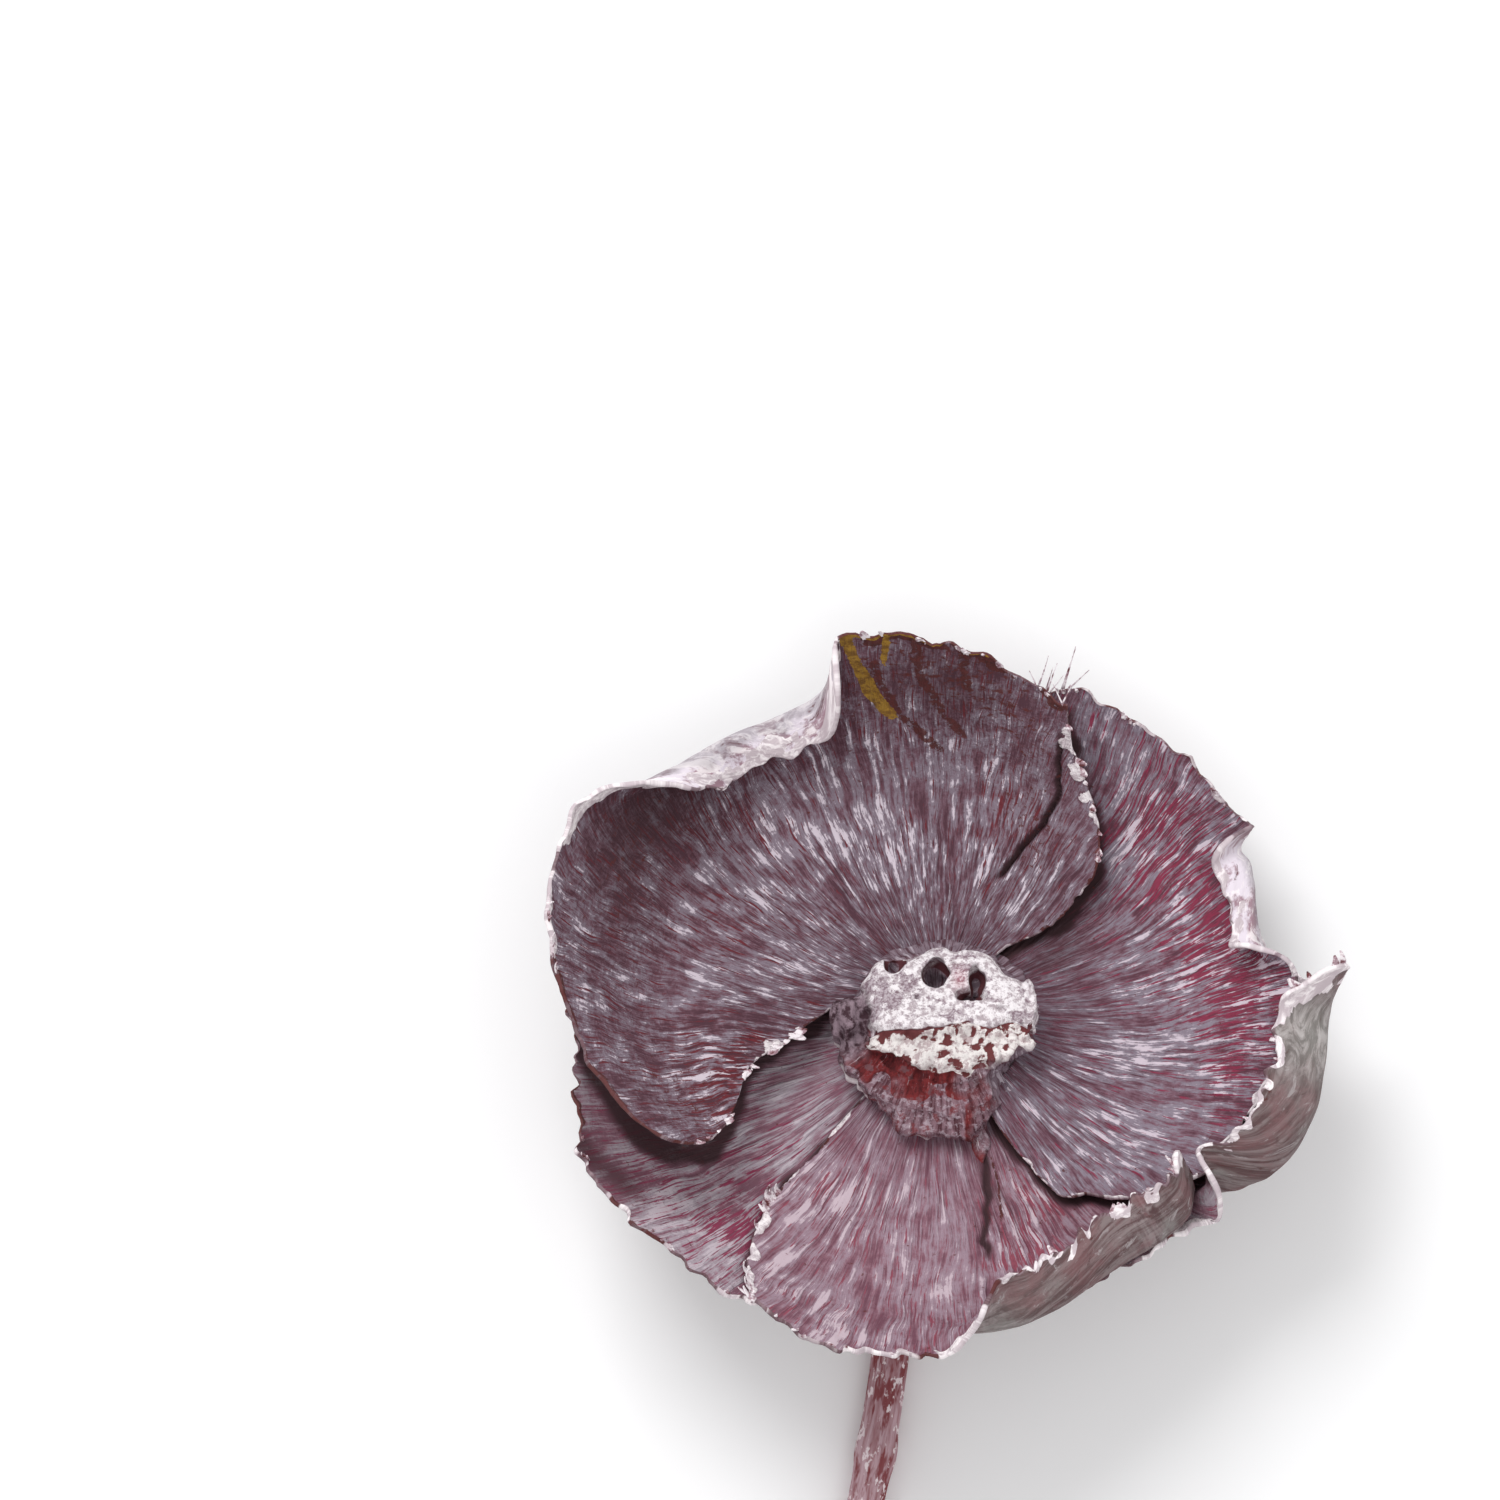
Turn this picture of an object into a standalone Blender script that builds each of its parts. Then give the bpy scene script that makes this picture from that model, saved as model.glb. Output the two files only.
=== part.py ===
"""Dried palm cup on its stem: a shallow woody bowl of six overlapping scales round a pitted hub.

Metres, +Z up. The cup lies on its back, its mouth tipped towards +Y, and the stem runs along -Y.
The origin is on the surface it lies on, below the middle of the whole piece.
"""
import math

import bmesh
import bpy
import numpy as np
from mathutils import Matrix, Vector

MM = 0.001

# Cup, in millimetres, in its own frame: mouth towards +Z, base of the scales at the origin
ROOT_RADIUS = 12.0
ROOT_SHIFT = 1.0
ROOT_SLOPE = -15.0
SIDE_SLOPE = 46.0
BACK_SLOPE = 12.0
SLOPE_LENGTH = 40.0
SLOPE_POWER = 0.8
SCALE_THICKNESS = 1.2
LAYER_STEP = 1.7
LAYER_SPREAD = 0.6
PLEAT_HEIGHT = 0.55
TORN_EDGE = 0.32
ROW_CROWDING = 1.35
PATH_STEPS = 200

# How the cup lies
TILT = 22.0
TURN = 11.3
BASE_HEIGHT = 7.8
CUP_X = 1.0
CUP_Y = 75.7

# Hub
STUMP_CLEARANCE = 0.6
HUB_WALL = 11.4
ROOT_LEAN = 0.25
HUB_FOOT = -1.5
HUB_SHOULDER = 7.0
SKIRT_TEARS = ((9, 0.16, 0.4), (13, 0.1, 0.0))
SKIRT_LIFT = 1.6
SKIRT_MIDDLE = math.radians(-90)
SKIRT_SPREAD = 0.45
HUB_TURNS = 40
HUB_TOP = 12.0
HUB_SHIFT = (1.2, -1.6)
HUB_FLATTEN = 0.84
STEP_DEPTH = 1.5
STEP_Y = -4.8
TOP_BUMPS = (0.3, 0.2)
PITS = ((-4.9, 4.0, 1.1, 3.0), (-0.4, 2.2, 1.8, 5.0), (3.5, -0.6, 1.9, 4.5))

# Stem
STEM_RADIUS = 2.3
STEM_FIT = 0.35
STEM_START = (0.0, -1.0)
STEM_DIP = 30.0
NECK_LENGTH = 11.5
BEND_LENGTH = 24.0
STEM_REACH = 200.0
STEM_SIDESTEP = 2.4
SIDESTEP_LENGTH = 42.0
STEM_BOW = 1.2
BOW_START = 45.0
STEM_WAVER = 0.5
WAVER_LENGTH = 31.0
STEM_STEP = 0.5
NECK_RADIUS = 3.7


class Scale:
    """One scale of the cup.

    start and end are its two side edges, as (distance from the root in mm, degrees round the cup).
    rim is its far edge, as (place from start to end, distance in mm). A roll is (from, full, full,
    to, degrees, width in mm): the rim rolls inwards between those places. A lift is (place, width,
    height in mm), by which a side edge stands off the scale below.
    """

    def __init__(self, name, layer, cells, start, end, rim, rolls=(), lifts=(), seed=1):
        self.name = name
        self.layer = layer
        self.cells = cells
        self.start = start
        self.end = end
        self.rim = rim
        self.rolls = rolls
        self.lifts = lifts
        self.seed = seed


SCALES = (
    Scale("sepal_top", 0, (24, 10), ((0, 22), (60, 28)), ((0, 150), (60, 150)),
          ((0, 26), (0.1, 31), (0.3, 34), (0.5, 34), (0.7, 32), (0.9, 30), (1, 26)), seed=3),
    Scale("sepal_left", 0, (24, 11), ((0, 160), (60, 156)), ((0, 248), (60, 252)),
          ((0, 31), (0.13, 35), (0.34, 35), (0.447, 36.5), (0.553, 39.4), (0.638, 39.4),
           (0.755, 36.9), (0.872, 35.4), (1, 31)), seed=4),
    Scale("sepal_right", 0, (34, 14), ((0, -86), (60, -90)), ((0, 14), (60, 17)),
          ((0, 26), (0.094, 28), (0.3, 29.5), (0.44, 31), (0.48, 34), (0.52, 40.5), (0.56, 44.5),
           (0.61, 46.5), (0.66, 47.5), (0.7, 47.7), (0.75, 47.6), (0.79, 47.2), (0.82, 46.6),
           (0.845, 45), (0.86, 41), (0.88, 36), (0.91, 33), (1, 31)),
          rolls=((0.46, 0.53, 0.76, 0.87, 118, 12),), seed=5),
    Scale("petal_bottom", 1, (30, 14), ((0, 226), (13, 228), (23, 231), (34, 238), (41, 244), (60, 246)),
          ((0, 302), (20, 317), (41, 323), (60, 323)),
          ((0, 37.5), (0.07, 41), (0.16, 41.2), (0.28, 39.8), (0.34, 40.4), (0.4, 42.4),
           (0.46, 43.6), (0.6, 42.4), (0.75, 40.4), (0.88, 39.6), (0.95, 39), (1, 37.5)),
          rolls=((0.33, 0.5, 0.72, 0.95, 125, 12), (0.72, 0.95, 1, 1.2, 95, 12)), seed=6),
    Scale("petal_right", 2, (38, 13), ((0, -64), (15, -60), (60, -60)), ((0, 70), (20, 76), (60, 76)),
          ((0, 16), (0.037, 19), (0.127, 27.5), (0.25, 31.4), (0.306, 34), (0.373, 36.8),
           (0.43, 37.8), (0.475, 38.8), (0.53, 40.2), (0.58, 41.8), (0.61, 42.3), (0.625, 41.2),
           (0.64, 39.8), (0.72, 39.4), (0.769, 39.4), (0.866, 40.8), (0.925, 40.8), (1, 37)),
          rolls=((0.44, 0.52, 0.61, 0.635, 150, 8),), seed=7),
    Scale("petal_top", 3, (42, 15),
          ((0, 50), (7, 42), (16, 41), (22, 45), (28, 53), (35, 61), (44, 65), (60, 66)),
          ((0, 176), (8, 194), (15, 203), (19, 211), (28, 219.5), (38, 219), (60, 217)),
          ((0, 43), (0.06, 45), (0.1, 48.2), (0.22, 50), (0.27, 50), (0.3, 48.5), (0.36, 47.5),
           (0.42, 48.8), (0.48, 50.6), (0.54, 52.2), (0.6, 53.4), (0.64, 53.6), (0.7, 52.6),
           (0.775, 49.2), (0.85, 46.4), (0.905, 44.6), (0.95, 43.6), (0.98, 42), (1, 38.5)),
          rolls=((0.27, 0.33, 0.45, 0.63, 160, 11),), lifts=((0, 0.3, 3.8), (1, 0.4, 4.8)), seed=8),
)


def smooth(x):
    """Ease from 0 to 1."""
    x = np.clip(x, 0, 1)
    return x * x * (3 - 2 * x)


def curve_through(x, points):
    """A smooth curve through the (x, y) points, read at x."""
    points = np.array(points, float)
    xs, ys = points[:, 0], points[:, 1]
    i = np.clip(np.searchsorted(xs, x, side="right") - 1, 0, len(xs) - 2)
    slopes = np.gradient(ys, xs)
    width = xs[i + 1] - xs[i]
    t = np.clip((x - xs[i]) / width, 0, 1)
    near = (2 * t**3 - 3 * t**2 + 1) * ys[i] + (t**3 - 2 * t**2 + t) * width * slopes[i]
    far = (3 * t**2 - 2 * t**3) * ys[i + 1] + (t**3 - t**2) * width * slopes[i + 1]
    return near + far


def root_radius(phi):
    """Radius of the ring that the scales grow from: the hub sits a little forward."""
    return ROOT_RADIUS - ROOT_SHIFT * np.sin(phi)


def bowl_slope(s, phi):
    """Slope of the bowl, in radians, s mm from the root. The back is steeper than the front."""
    rim = SIDE_SLOPE + BACK_SLOPE * np.sin(phi)
    return np.radians(ROOT_SLOPE + (rim - ROOT_SLOPE) * np.clip(s / SLOPE_LENGTH, 0, 2) ** SLOPE_POWER)


def pleats(s, phi):
    """Shallow pleats that all the scales share, so that they stay nested."""
    wave = np.sin(5 * phi + 0.9) + 0.5 * np.sin(9 * phi + 2.0 + s / 14) + 0.35 * np.sin(14 * phi + s / 9)
    return PLEAT_HEIGHT * wave * smooth((s - 4) / 30)


def torn(u, seed):
    """Small tears of a rim, in mm, for places u from 0 to 1."""
    draw = np.random.default_rng(seed)
    edge = np.zeros_like(u)
    for waves in (7, 12, 19, 27):
        edge = edge + TORN_EDGE * draw.uniform(0.6, 1.0) * np.sin(2 * np.pi * (waves * u + draw.uniform()))
    return edge


def running_sum(values):
    return np.concatenate([np.zeros((len(values), 1)), np.cumsum(values, axis=1)], axis=1)


def scale_surface(scale, u, v):
    """Back face of a scale in the cup's frame, in mm: u runs from start to end, v from root to rim."""
    t = np.linspace(0, 1, PATH_STEPS + 1)
    outline = curve_through(u, scale.rim)
    length = outline + torn(u, scale.seed)
    s = length[:, None] * t[None, :]
    place = u[:, None]
    phi = curve_through(s, scale.start) * (1 - place) + curve_through(s, scale.end) * place
    phi = np.radians(phi)

    # The bowl's meridian, then the scale's own layer inside it
    slope = bowl_slope(s, phi)
    step = np.diff(s, axis=1)
    middle = 0.5 * (slope[:, 1:] + slope[:, :-1])
    r = root_radius(phi) + running_sum(np.cos(middle) * step)
    h = running_sum(np.sin(middle) * step)
    inset = scale.layer * (LAYER_STEP + LAYER_SPREAD * np.clip(s / SLOPE_LENGTH, 0, 1)) + pleats(s, phi)
    for centre, width, height in scale.lifts:
        off = height * smooth(1 - np.abs(u - centre) / width)
        inset = inset + off[:, None] * smooth(s / (0.6 * SLOPE_LENGTH))
    r = r - np.sin(slope) * inset
    h = h + np.cos(slope) * inset

    # The rim's rolls turn that path inwards
    dr, dh = np.diff(r, axis=1), np.diff(h, axis=1)
    run, heading = np.hypot(dr, dh), np.arctan2(dh, dr)
    middle = 0.5 * (s[:, 1:] + s[:, :-1])
    for begin, full, hold, finish, angle, width in scale.rolls:
        strength = smooth((u - begin) / (full - begin)) * smooth((finish - u) / (finish - hold))
        x = np.clip((middle - (outline[:, None] - width)) / width, 0, 1)
        heading = heading + np.radians(angle) * strength[:, None] * smooth(1.35 * x)
    r = r[:, :1] + running_sum(run * np.cos(heading))
    h = h[:, :1] + running_sum(run * np.sin(heading))

    points = np.stack([r * np.cos(phi), r * np.sin(phi), h], axis=-1)
    at = v * PATH_STEPS
    low = np.clip(at.astype(int), 0, PATH_STEPS - 1)
    part = (at - low)[None, :, None]
    return points[:, low] * (1 - part) + points[:, low + 1] * part


def cup_matrix():
    """From the cup's frame to the world, in mm."""
    turn = Matrix.Rotation(math.radians(TURN), 4, "Z") @ Matrix.Rotation(math.radians(-TILT), 4, "X")
    return Matrix.Translation((CUP_X, CUP_Y, BASE_HEIGHT)) @ turn


def rest_on_surface(points):
    """Flatten what would reach below the surface that the cup lies on."""
    matrix = np.array(cup_matrix())
    world = points @ matrix[:3, :3].T + matrix[:3, 3]
    world[..., 2] = np.maximum(world[..., 2], 0)
    return (world - matrix[:3, 3]) @ matrix[:3, :3]


def make_material(name, colour, roughness):
    material = bpy.data.materials.new(name)
    material.use_nodes = True
    shader = material.node_tree.nodes["Principled BSDF"]
    shader.inputs["Base Color"].default_value = (*colour, 1)
    shader.inputs["Roughness"].default_value = roughness
    shader.inputs["Metallic"].default_value = 0
    return material


def add_object(name, mesh, material, collection, parent=None):
    thing = bpy.data.objects.new(name, mesh)
    if material:
        mesh.materials.clear()
        mesh.materials.append(material)
    collection.objects.link(thing)
    thing.parent = parent
    return thing


def make_scale(scale, material, collection, parent):
    """A grid bent to the scale's back face, and thickened inwards."""
    columns, rows = scale.cells
    u = np.linspace(0, 1, columns + 1)
    v = 1 - (1 - np.linspace(0, 1, rows + 1)) ** ROW_CROWDING
    points = rest_on_surface(scale_surface(scale, u, v)) * MM

    bm = bmesh.new()
    bmesh.ops.create_grid(bm, x_segments=columns, y_segments=rows, size=1)
    for vert in bm.verts:
        i = round((vert.co.x + 1) / 2 * columns)
        j = round((vert.co.y + 1) / 2 * rows)
        vert.co = Vector(points[i, j])
    bmesh.ops.triangulate(bm, faces=bm.faces, quad_method="FIXED")
    bm.normal_update()
    mesh = bpy.data.meshes.new(scale.name)
    bm.to_mesh(mesh)
    bm.free()
    mesh.shade_smooth()

    thing = add_object(scale.name, mesh, material, collection, parent)
    wall = thing.modifiers.new("Thickness", "SOLIDIFY")
    wall.thickness = SCALE_THICKNESS * MM
    wall.offset = -1
    wall.use_even_offset = False
    return thing


def turned_mesh(name, profile, steps):
    """A profile of (radius, height) in mm, down its outer side, turned round Z."""
    bm = bmesh.new()
    verts = [bm.verts.new((r * MM, 0, h * MM)) for r, h in profile]
    for a, b in zip(verts, verts[1:]):
        bm.edges.new((a, b))
    mesh = bpy.data.meshes.new(name)
    bm.to_mesh(mesh)
    bm.free()
    thing = bpy.data.objects.new(name, mesh)
    bpy.context.scene.collection.objects.link(thing)
    screw = thing.modifiers.new("Turn", "SCREW")
    screw.steps = steps
    screw.render_steps = steps
    screw.use_merge_vertices = True
    screw.merge_threshold = 0.00001
    turned = evaluated_mesh(thing)
    bpy.data.objects.remove(thing)
    return turned


def evaluated_mesh(thing):
    bpy.context.view_layer.update()
    graph = bpy.context.evaluated_depsgraph_get()
    return bpy.data.meshes.new_from_object(thing.evaluated_get(graph))


def shape_hub(mesh):
    """Press the turned hub to its real form: an oval top, a low front step and a torn front skirt."""
    for vert in mesh.vertices:
        x, y, w = (c / MM for c in vert.co)
        phi = math.atan2(y, x)
        radius = math.hypot(x, y)
        front = math.exp(-((phi - SKIRT_MIDDLE) / SKIRT_SPREAD) ** 2)
        if HUB_FOOT < w < HUB_SHOULDER:
            # Inside the roots of the scales, apart from the skirt, which hangs over them
            ring = ROOT_RADIUS - ROOT_SHIFT * math.sin(phi) - STUMP_CLEARANCE
            wall = ring + ROOT_LEAN * max(w, -1)
            ragged = 1
            for waves, depth, start in SKIRT_TEARS:
                ragged += depth * math.sin(waves * phi + start)
            overhang = max(radius - HUB_WALL - ROOT_LEAN * max(w, -1), 0)
            radius = wall + overhang * front * ragged
            # Clear of the root of petal_right, which sits higher than that of petal_bottom
            if w > 2:
                right = float(smooth((math.cos(phi) - 0.1) / 0.3))
                w += SKIRT_LIFT * right * float(smooth((6.5 - w) / 2))
        x, y = radius * math.cos(phi), radius * math.sin(phi)
        high = float(smooth((w - 6.5) / 3.5))
        x += HUB_SHIFT[0] * high
        y = y * (1 - (1 - HUB_FLATTEN) * high) + HUB_SHIFT[1] * high
        if w > 9:
            w -= STEP_DEPTH * float(smooth((STEP_Y - y) / 1.0))
            w += TOP_BUMPS[0] * math.sin(1.1 * x + 0.5) * math.cos(0.9 * y)
            w += TOP_BUMPS[1] * math.sin(2.1 * x - 1.7 * y)
        vert.co = Vector((x, y, w)) * MM
    mesh.shade_smooth()


def stem_path():
    """Centre line of the stem in the world, in mm: straight in the hub, bent, then along the floor."""
    steps = np.arange(0, STEM_REACH + 1, STEM_STEP)
    ease = np.clip((steps - NECK_LENGTH) / BEND_LENGTH, 0, 1)
    dip = np.radians(STEM_DIP) * (1 - ease)
    y = STEM_START[1] - np.concatenate([[0], np.cumsum(np.cos(dip[:-1]) * STEM_STEP)])
    z = -np.concatenate([[0], np.cumsum(np.sin(dip[:-1]) * STEM_STEP)])
    z = z - z[-1] + STEM_RADIUS
    along = np.clip((-y - BOW_START) / (STEM_REACH - BOW_START), 0, 1)
    z = z + STEM_BOW * np.sin(np.pi * along) ** 2
    x = STEM_START[0] + STEM_SIDESTEP * smooth((-y - NECK_LENGTH) / SIDESTEP_LENGTH)
    x = x + STEM_WAVER * np.sin(np.pi * along) * np.sin(y / WAVER_LENGTH)
    keep = -y <= STEM_REACH
    return np.stack([x + CUP_X, y + CUP_Y, z], axis=1)[keep]


def make_stem(material, collection):
    path = stem_path()
    last = len(path) - 1
    marks = np.unique(np.concatenate([np.arange(0, 80, 7), np.arange(80, last, 18), [last]]))
    curve = bpy.data.curves.new("stem", "CURVE")
    curve.dimensions = "3D"
    spline = curve.splines.new("POLY")
    spline.points.add(len(marks) - 1)
    for point, mark in zip(spline.points, marks):
        point.co = (*(path[mark] * MM), 1)
    curve.bevel_depth = STEM_RADIUS * MM
    curve.bevel_resolution = 4
    curve.use_fill_caps = True
    curve.materials.append(material)
    thing = bpy.data.objects.new("stem", curve)
    collection.objects.link(thing)
    return thing


def make_rod(name, start, direction, length, radius_in, radius_out, sides, collection):
    """A closed round rod from start along direction, in world mm, for a joint or a cut."""
    bm = bmesh.new()
    bmesh.ops.create_cone(bm, cap_ends=True, segments=sides, radius1=radius_in * MM,
                          radius2=radius_out * MM, depth=length * MM)
    direction = Vector(direction).normalized()
    turn = Vector((0, 0, 1)).rotation_difference(direction).to_matrix().to_4x4()
    middle = (Vector(start) + direction * length / 2) * MM
    bm.transform(Matrix.Translation(middle) @ turn)
    mesh = bpy.data.meshes.new(name)
    bm.to_mesh(mesh)
    bm.free()
    rod = add_object(name, mesh, None, collection)
    rod.hide_render = True
    rod.display_type = "WIRE"
    return rod


def join_or_cut(thing, other, operation):
    step = thing.modifiers.new(other.name, "BOOLEAN")
    step.operation = operation
    step.object = other
    step.solver = "EXACT"


def make_hub(material, collection, cutters, parent):
    profile = ((0, HUB_TOP), (3.6, HUB_TOP), (7.0, HUB_TOP - 0.1), (9.2, HUB_TOP - 0.6),
               (10.1, HUB_TOP - 1.6), (10.4, 9.3), (11.3, 7.9), (HUB_WALL + 2.2, 6.5), (15.9, 5.2),
               (15.8, 3.9), (HUB_WALL + 0.8, 3.4), (HUB_WALL + 0.4, 1.5), (HUB_WALL - 0.2, -0.6),
               (9.6, -2.4), (6.0, -3.8), (0, -4.4))
    mesh = turned_mesh("receptacle", profile, HUB_TURNS)
    shape_hub(mesh)
    hub = add_object("receptacle", mesh, material, collection, parent)

    path = Vector(stem_path()[0])
    ahead = Vector(stem_path()[8]) - path
    neck = make_rod("neck", path + ahead.normalized() * 2, ahead, NECK_LENGTH - 2.5, NECK_RADIUS + 0.6,
                    NECK_RADIUS, 20, cutters)
    join_or_cut(hub, neck, "UNION")
    socket = make_rod("stem_socket", path - ahead.normalized() * STEM_FIT, ahead, NECK_LENGTH + 4,
                      STEM_RADIUS + STEM_FIT, STEM_RADIUS + STEM_FIT, 18, cutters)
    join_or_cut(hub, socket, "DIFFERENCE")

    to_world = cup_matrix()
    inwards = to_world.to_3x3() @ Vector((0, 0, 1))
    for number, (x, y, radius, depth) in enumerate(PITS, 1):
        bottom = to_world @ Vector((x, y, HUB_TOP - depth))
        pit = make_rod(f"pit_{number}", bottom, inwards, depth + 3, radius * 0.75, radius * 1.2, 9, cutters)
        join_or_cut(hub, pit, "DIFFERENCE")
    return hub


def main():
    for thing in list(bpy.data.objects):
        bpy.data.objects.remove(thing)
    scene = bpy.context.scene.collection
    parts = bpy.data.collections.new("dried_palm_cup")
    cutters = bpy.data.collections.new("cutters")
    scene.children.link(parts)
    scene.children.link(cutters)

    cup = bpy.data.objects.new("cup_axis", None)
    parts.objects.link(cup)
    matrix = cup_matrix()
    matrix.translation *= MM
    cup.matrix_world = matrix

    petal = make_material("petal_plum", (0.16, 0.10, 0.125), 0.8)
    sepal = make_material("sepal_plum", (0.20, 0.14, 0.155), 0.8)
    hub = make_material("hub_chalk", (0.55, 0.50, 0.50), 0.9)
    stem = make_material("stem_rose", (0.36, 0.20, 0.20), 0.7)

    for scale in SCALES:
        make_scale(scale, petal if scale.layer else sepal, parts, cup)
    make_hub(hub, parts, cutters, cup)
    make_stem(stem, parts)


main()
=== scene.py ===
"""Looks for the dried palm cup: fine shells with woody grain, a chalky pitted hub and a painted stem."""

import math
from dataclasses import dataclass

import bmesh
import bpy
import numpy as np
from mathutils import Matrix, Vector


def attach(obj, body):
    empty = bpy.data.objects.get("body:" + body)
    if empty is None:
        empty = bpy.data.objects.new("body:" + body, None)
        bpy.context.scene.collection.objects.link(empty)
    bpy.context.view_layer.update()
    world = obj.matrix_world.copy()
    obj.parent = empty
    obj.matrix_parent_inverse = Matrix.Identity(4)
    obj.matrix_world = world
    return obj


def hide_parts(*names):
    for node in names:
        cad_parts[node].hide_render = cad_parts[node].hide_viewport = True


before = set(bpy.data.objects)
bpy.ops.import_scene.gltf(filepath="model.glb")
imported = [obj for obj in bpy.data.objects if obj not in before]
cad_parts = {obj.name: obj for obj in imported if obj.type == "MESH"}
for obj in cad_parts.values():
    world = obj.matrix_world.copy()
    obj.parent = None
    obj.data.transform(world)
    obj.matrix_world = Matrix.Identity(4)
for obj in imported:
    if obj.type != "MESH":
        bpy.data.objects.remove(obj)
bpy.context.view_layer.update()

MM = 0.001

# The cup's shape, in millimetres in its own frame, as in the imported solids
ROOT_RADIUS = 12.0
ROOT_SHIFT = 1.0
ROOT_SLOPE = -15.0
SIDE_SLOPE = 46.0
BACK_SLOPE = 12.0
SLOPE_LENGTH = 40.0
SLOPE_POWER = 0.8
SCALE_THICKNESS = 1.2
LAYER_STEP = 1.7
LAYER_SPREAD = 0.6
PLEAT_HEIGHT = 0.55
TORN_EDGE = 0.32
PATH_STEPS = 240
TILT = 22.0
TURN = 11.3
CUP_AT = (1.0, 75.7, 7.8)

# The grain spreads out from the hub; its width is true this far from the middle
GRAIN_RADIUS = 30.0

# Fine tears reach this far in from a rim
TEAR_REACH = 5.0

# The rows of a scale's grid crowd towards its rim by this power
RIM_ROWS = 1.2

# The painted shadow under an overlapping edge falls a little to this side of it, away from the key light
SHADE_SIDE = (0.35, -0.35)

# Nothing of the cup comes nearer to the surface than this
LOWEST = 0.05


def smooth(x):
    """0 below 0 and 1 above 1, with a soft slope between."""
    x = np.clip(x, 0, 1)
    return x * x * (3 - 2 * x)


def bump(x):
    """1 at x = 0, falling softly to nearly 0 at 2."""
    return np.exp(-x * x)


def curve_through(x, points):
    """A smooth curve through the (x, y) points, read at x."""
    points = np.array(points, float)
    xs, ys = points[:, 0], points[:, 1]
    i = np.clip(np.searchsorted(xs, x, side="right") - 1, 0, len(xs) - 2)
    slopes = np.gradient(ys, xs)
    width = xs[i + 1] - xs[i]
    t = np.clip((x - xs[i]) / width, 0, 1)
    near = (2 * t**3 - 3 * t**2 + 1) * ys[i] + (t**3 - 2 * t**2 + t) * width * slopes[i]
    far = (3 * t**2 - 2 * t**3) * ys[i + 1] + (t**3 - t**2) * width * slopes[i + 1]
    return near + far


def noise2(x, y, seed):
    """Value noise on a plane, from -1 to 1."""
    size = 128
    table = np.random.default_rng(seed).uniform(-1, 1, (size, size))
    x, y = np.broadcast_arrays(x, y)
    i, j = np.floor(x).astype(int), np.floor(y).astype(int)
    a, b = smooth(x - i), smooth(y - j)
    near = table[i % size, j % size] * (1 - a) + table[(i + 1) % size, j % size] * a
    far = table[i % size, (j + 1) % size] * (1 - a) + table[(i + 1) % size, (j + 1) % size] * a
    return near * (1 - b) + far * b


def noise3(p, seed):
    """Value noise in space, from -1 to 1."""
    size = 32
    table = np.random.default_rng(seed).uniform(-1, 1, (size, size, size))
    cell = np.floor(p).astype(int)
    f = smooth(p - cell)
    total = 0
    for corner in np.ndindex(2, 2, 2):
        weight = np.prod(np.where(corner, f, 1 - f), axis=-1)
        i, j, k = np.moveaxis((cell + corner) % size, -1, 0)
        total = total + weight * table[i, j, k]
    return total


def ragged(x, seed):
    """A torn outline from 0 to 1, for a place x mm along an edge."""
    waves = ((0.5, 3.1, 0.5), (0.35, 1.1, 7.5), (0.3, 0.5, 3.5))
    wave = sum(share * noise2(x / size, row, seed) for share, size, row in waves)
    return np.clip(0.45 + 0.55 * wave, 0, 1) ** 1.4


def running_sum(values):
    return np.concatenate([np.zeros((len(values), 1)), np.cumsum(values, axis=1)], axis=1)


def cup_matrix():
    turn = Matrix.Rotation(math.radians(TURN), 4, "Z") @ Matrix.Rotation(math.radians(-TILT), 4, "X")
    return Matrix.Translation(CUP_AT) @ turn


CUP = np.array(cup_matrix())


def to_world(points):
    """Cup frame in mm to the world in metres, resting on the surface."""
    world = points @ CUP[:3, :3].T + CUP[:3, 3]
    world[..., 2] = np.maximum(world[..., 2], LOWEST)
    return world * MM


def from_world(points):
    return (points / MM - CUP[:3, 3]) @ CUP[:3, :3]


@dataclass
class Scale:
    """One scale of the cup, with the outline of its solid and its own marks.

    A place runs from 0 at its start side to 1 at its end side, and s is mm from its root.
    """

    name: str
    look: str
    layer: int
    seed: int
    fine: tuple  # columns and rows of its grid
    start: tuple  # (s, degrees round the hub) along the side where it starts
    end: tuple
    rim: tuple  # (place, s)
    coarse: int = 2  # its back takes one grid point in so many
    reach: float = 1.0  # mm that its root runs in under the hub
    rolls: tuple = ()  # rolled rim: places where it begins, is full, holds to and ends, degrees, mm wide
    lifts: tuple = ()  # where it stands off what is below: place, spread, mm
    tear: float = 0.7  # mm that its rim is torn
    tears: tuple = ()  # more of it: place, spread, mm
    side_tears: tuple = (0.5, 0.5)
    pale: tuple = ()  # soft round marks: place, s, spread of both, strength
    red: tuple = ()
    # dark: painted shade, as soft round marks in the same form, where shade falls under edges, under the
    # rolled lip and near the hub
    dark: tuple = ()
    rust_spots: tuple = ()
    lips: tuple = ()  # white turned-over rim: from place, to place, mm wide, strength
    crusts: tuple = ()  # chalky rim, in the same form
    rust_rims: tuple = ()
    ochre_rims: tuple = ()  # from place, to place
    side_crusts: tuple = ()  # side, from s, to s, mm wide, strength
    rust: tuple = ()  # strokes: path of (s, place), mm to each side
    ochre: tuple = ()
    grooves: tuple = ()  # path, from s, to s, mm to each side, depth, lift beyond it


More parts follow.
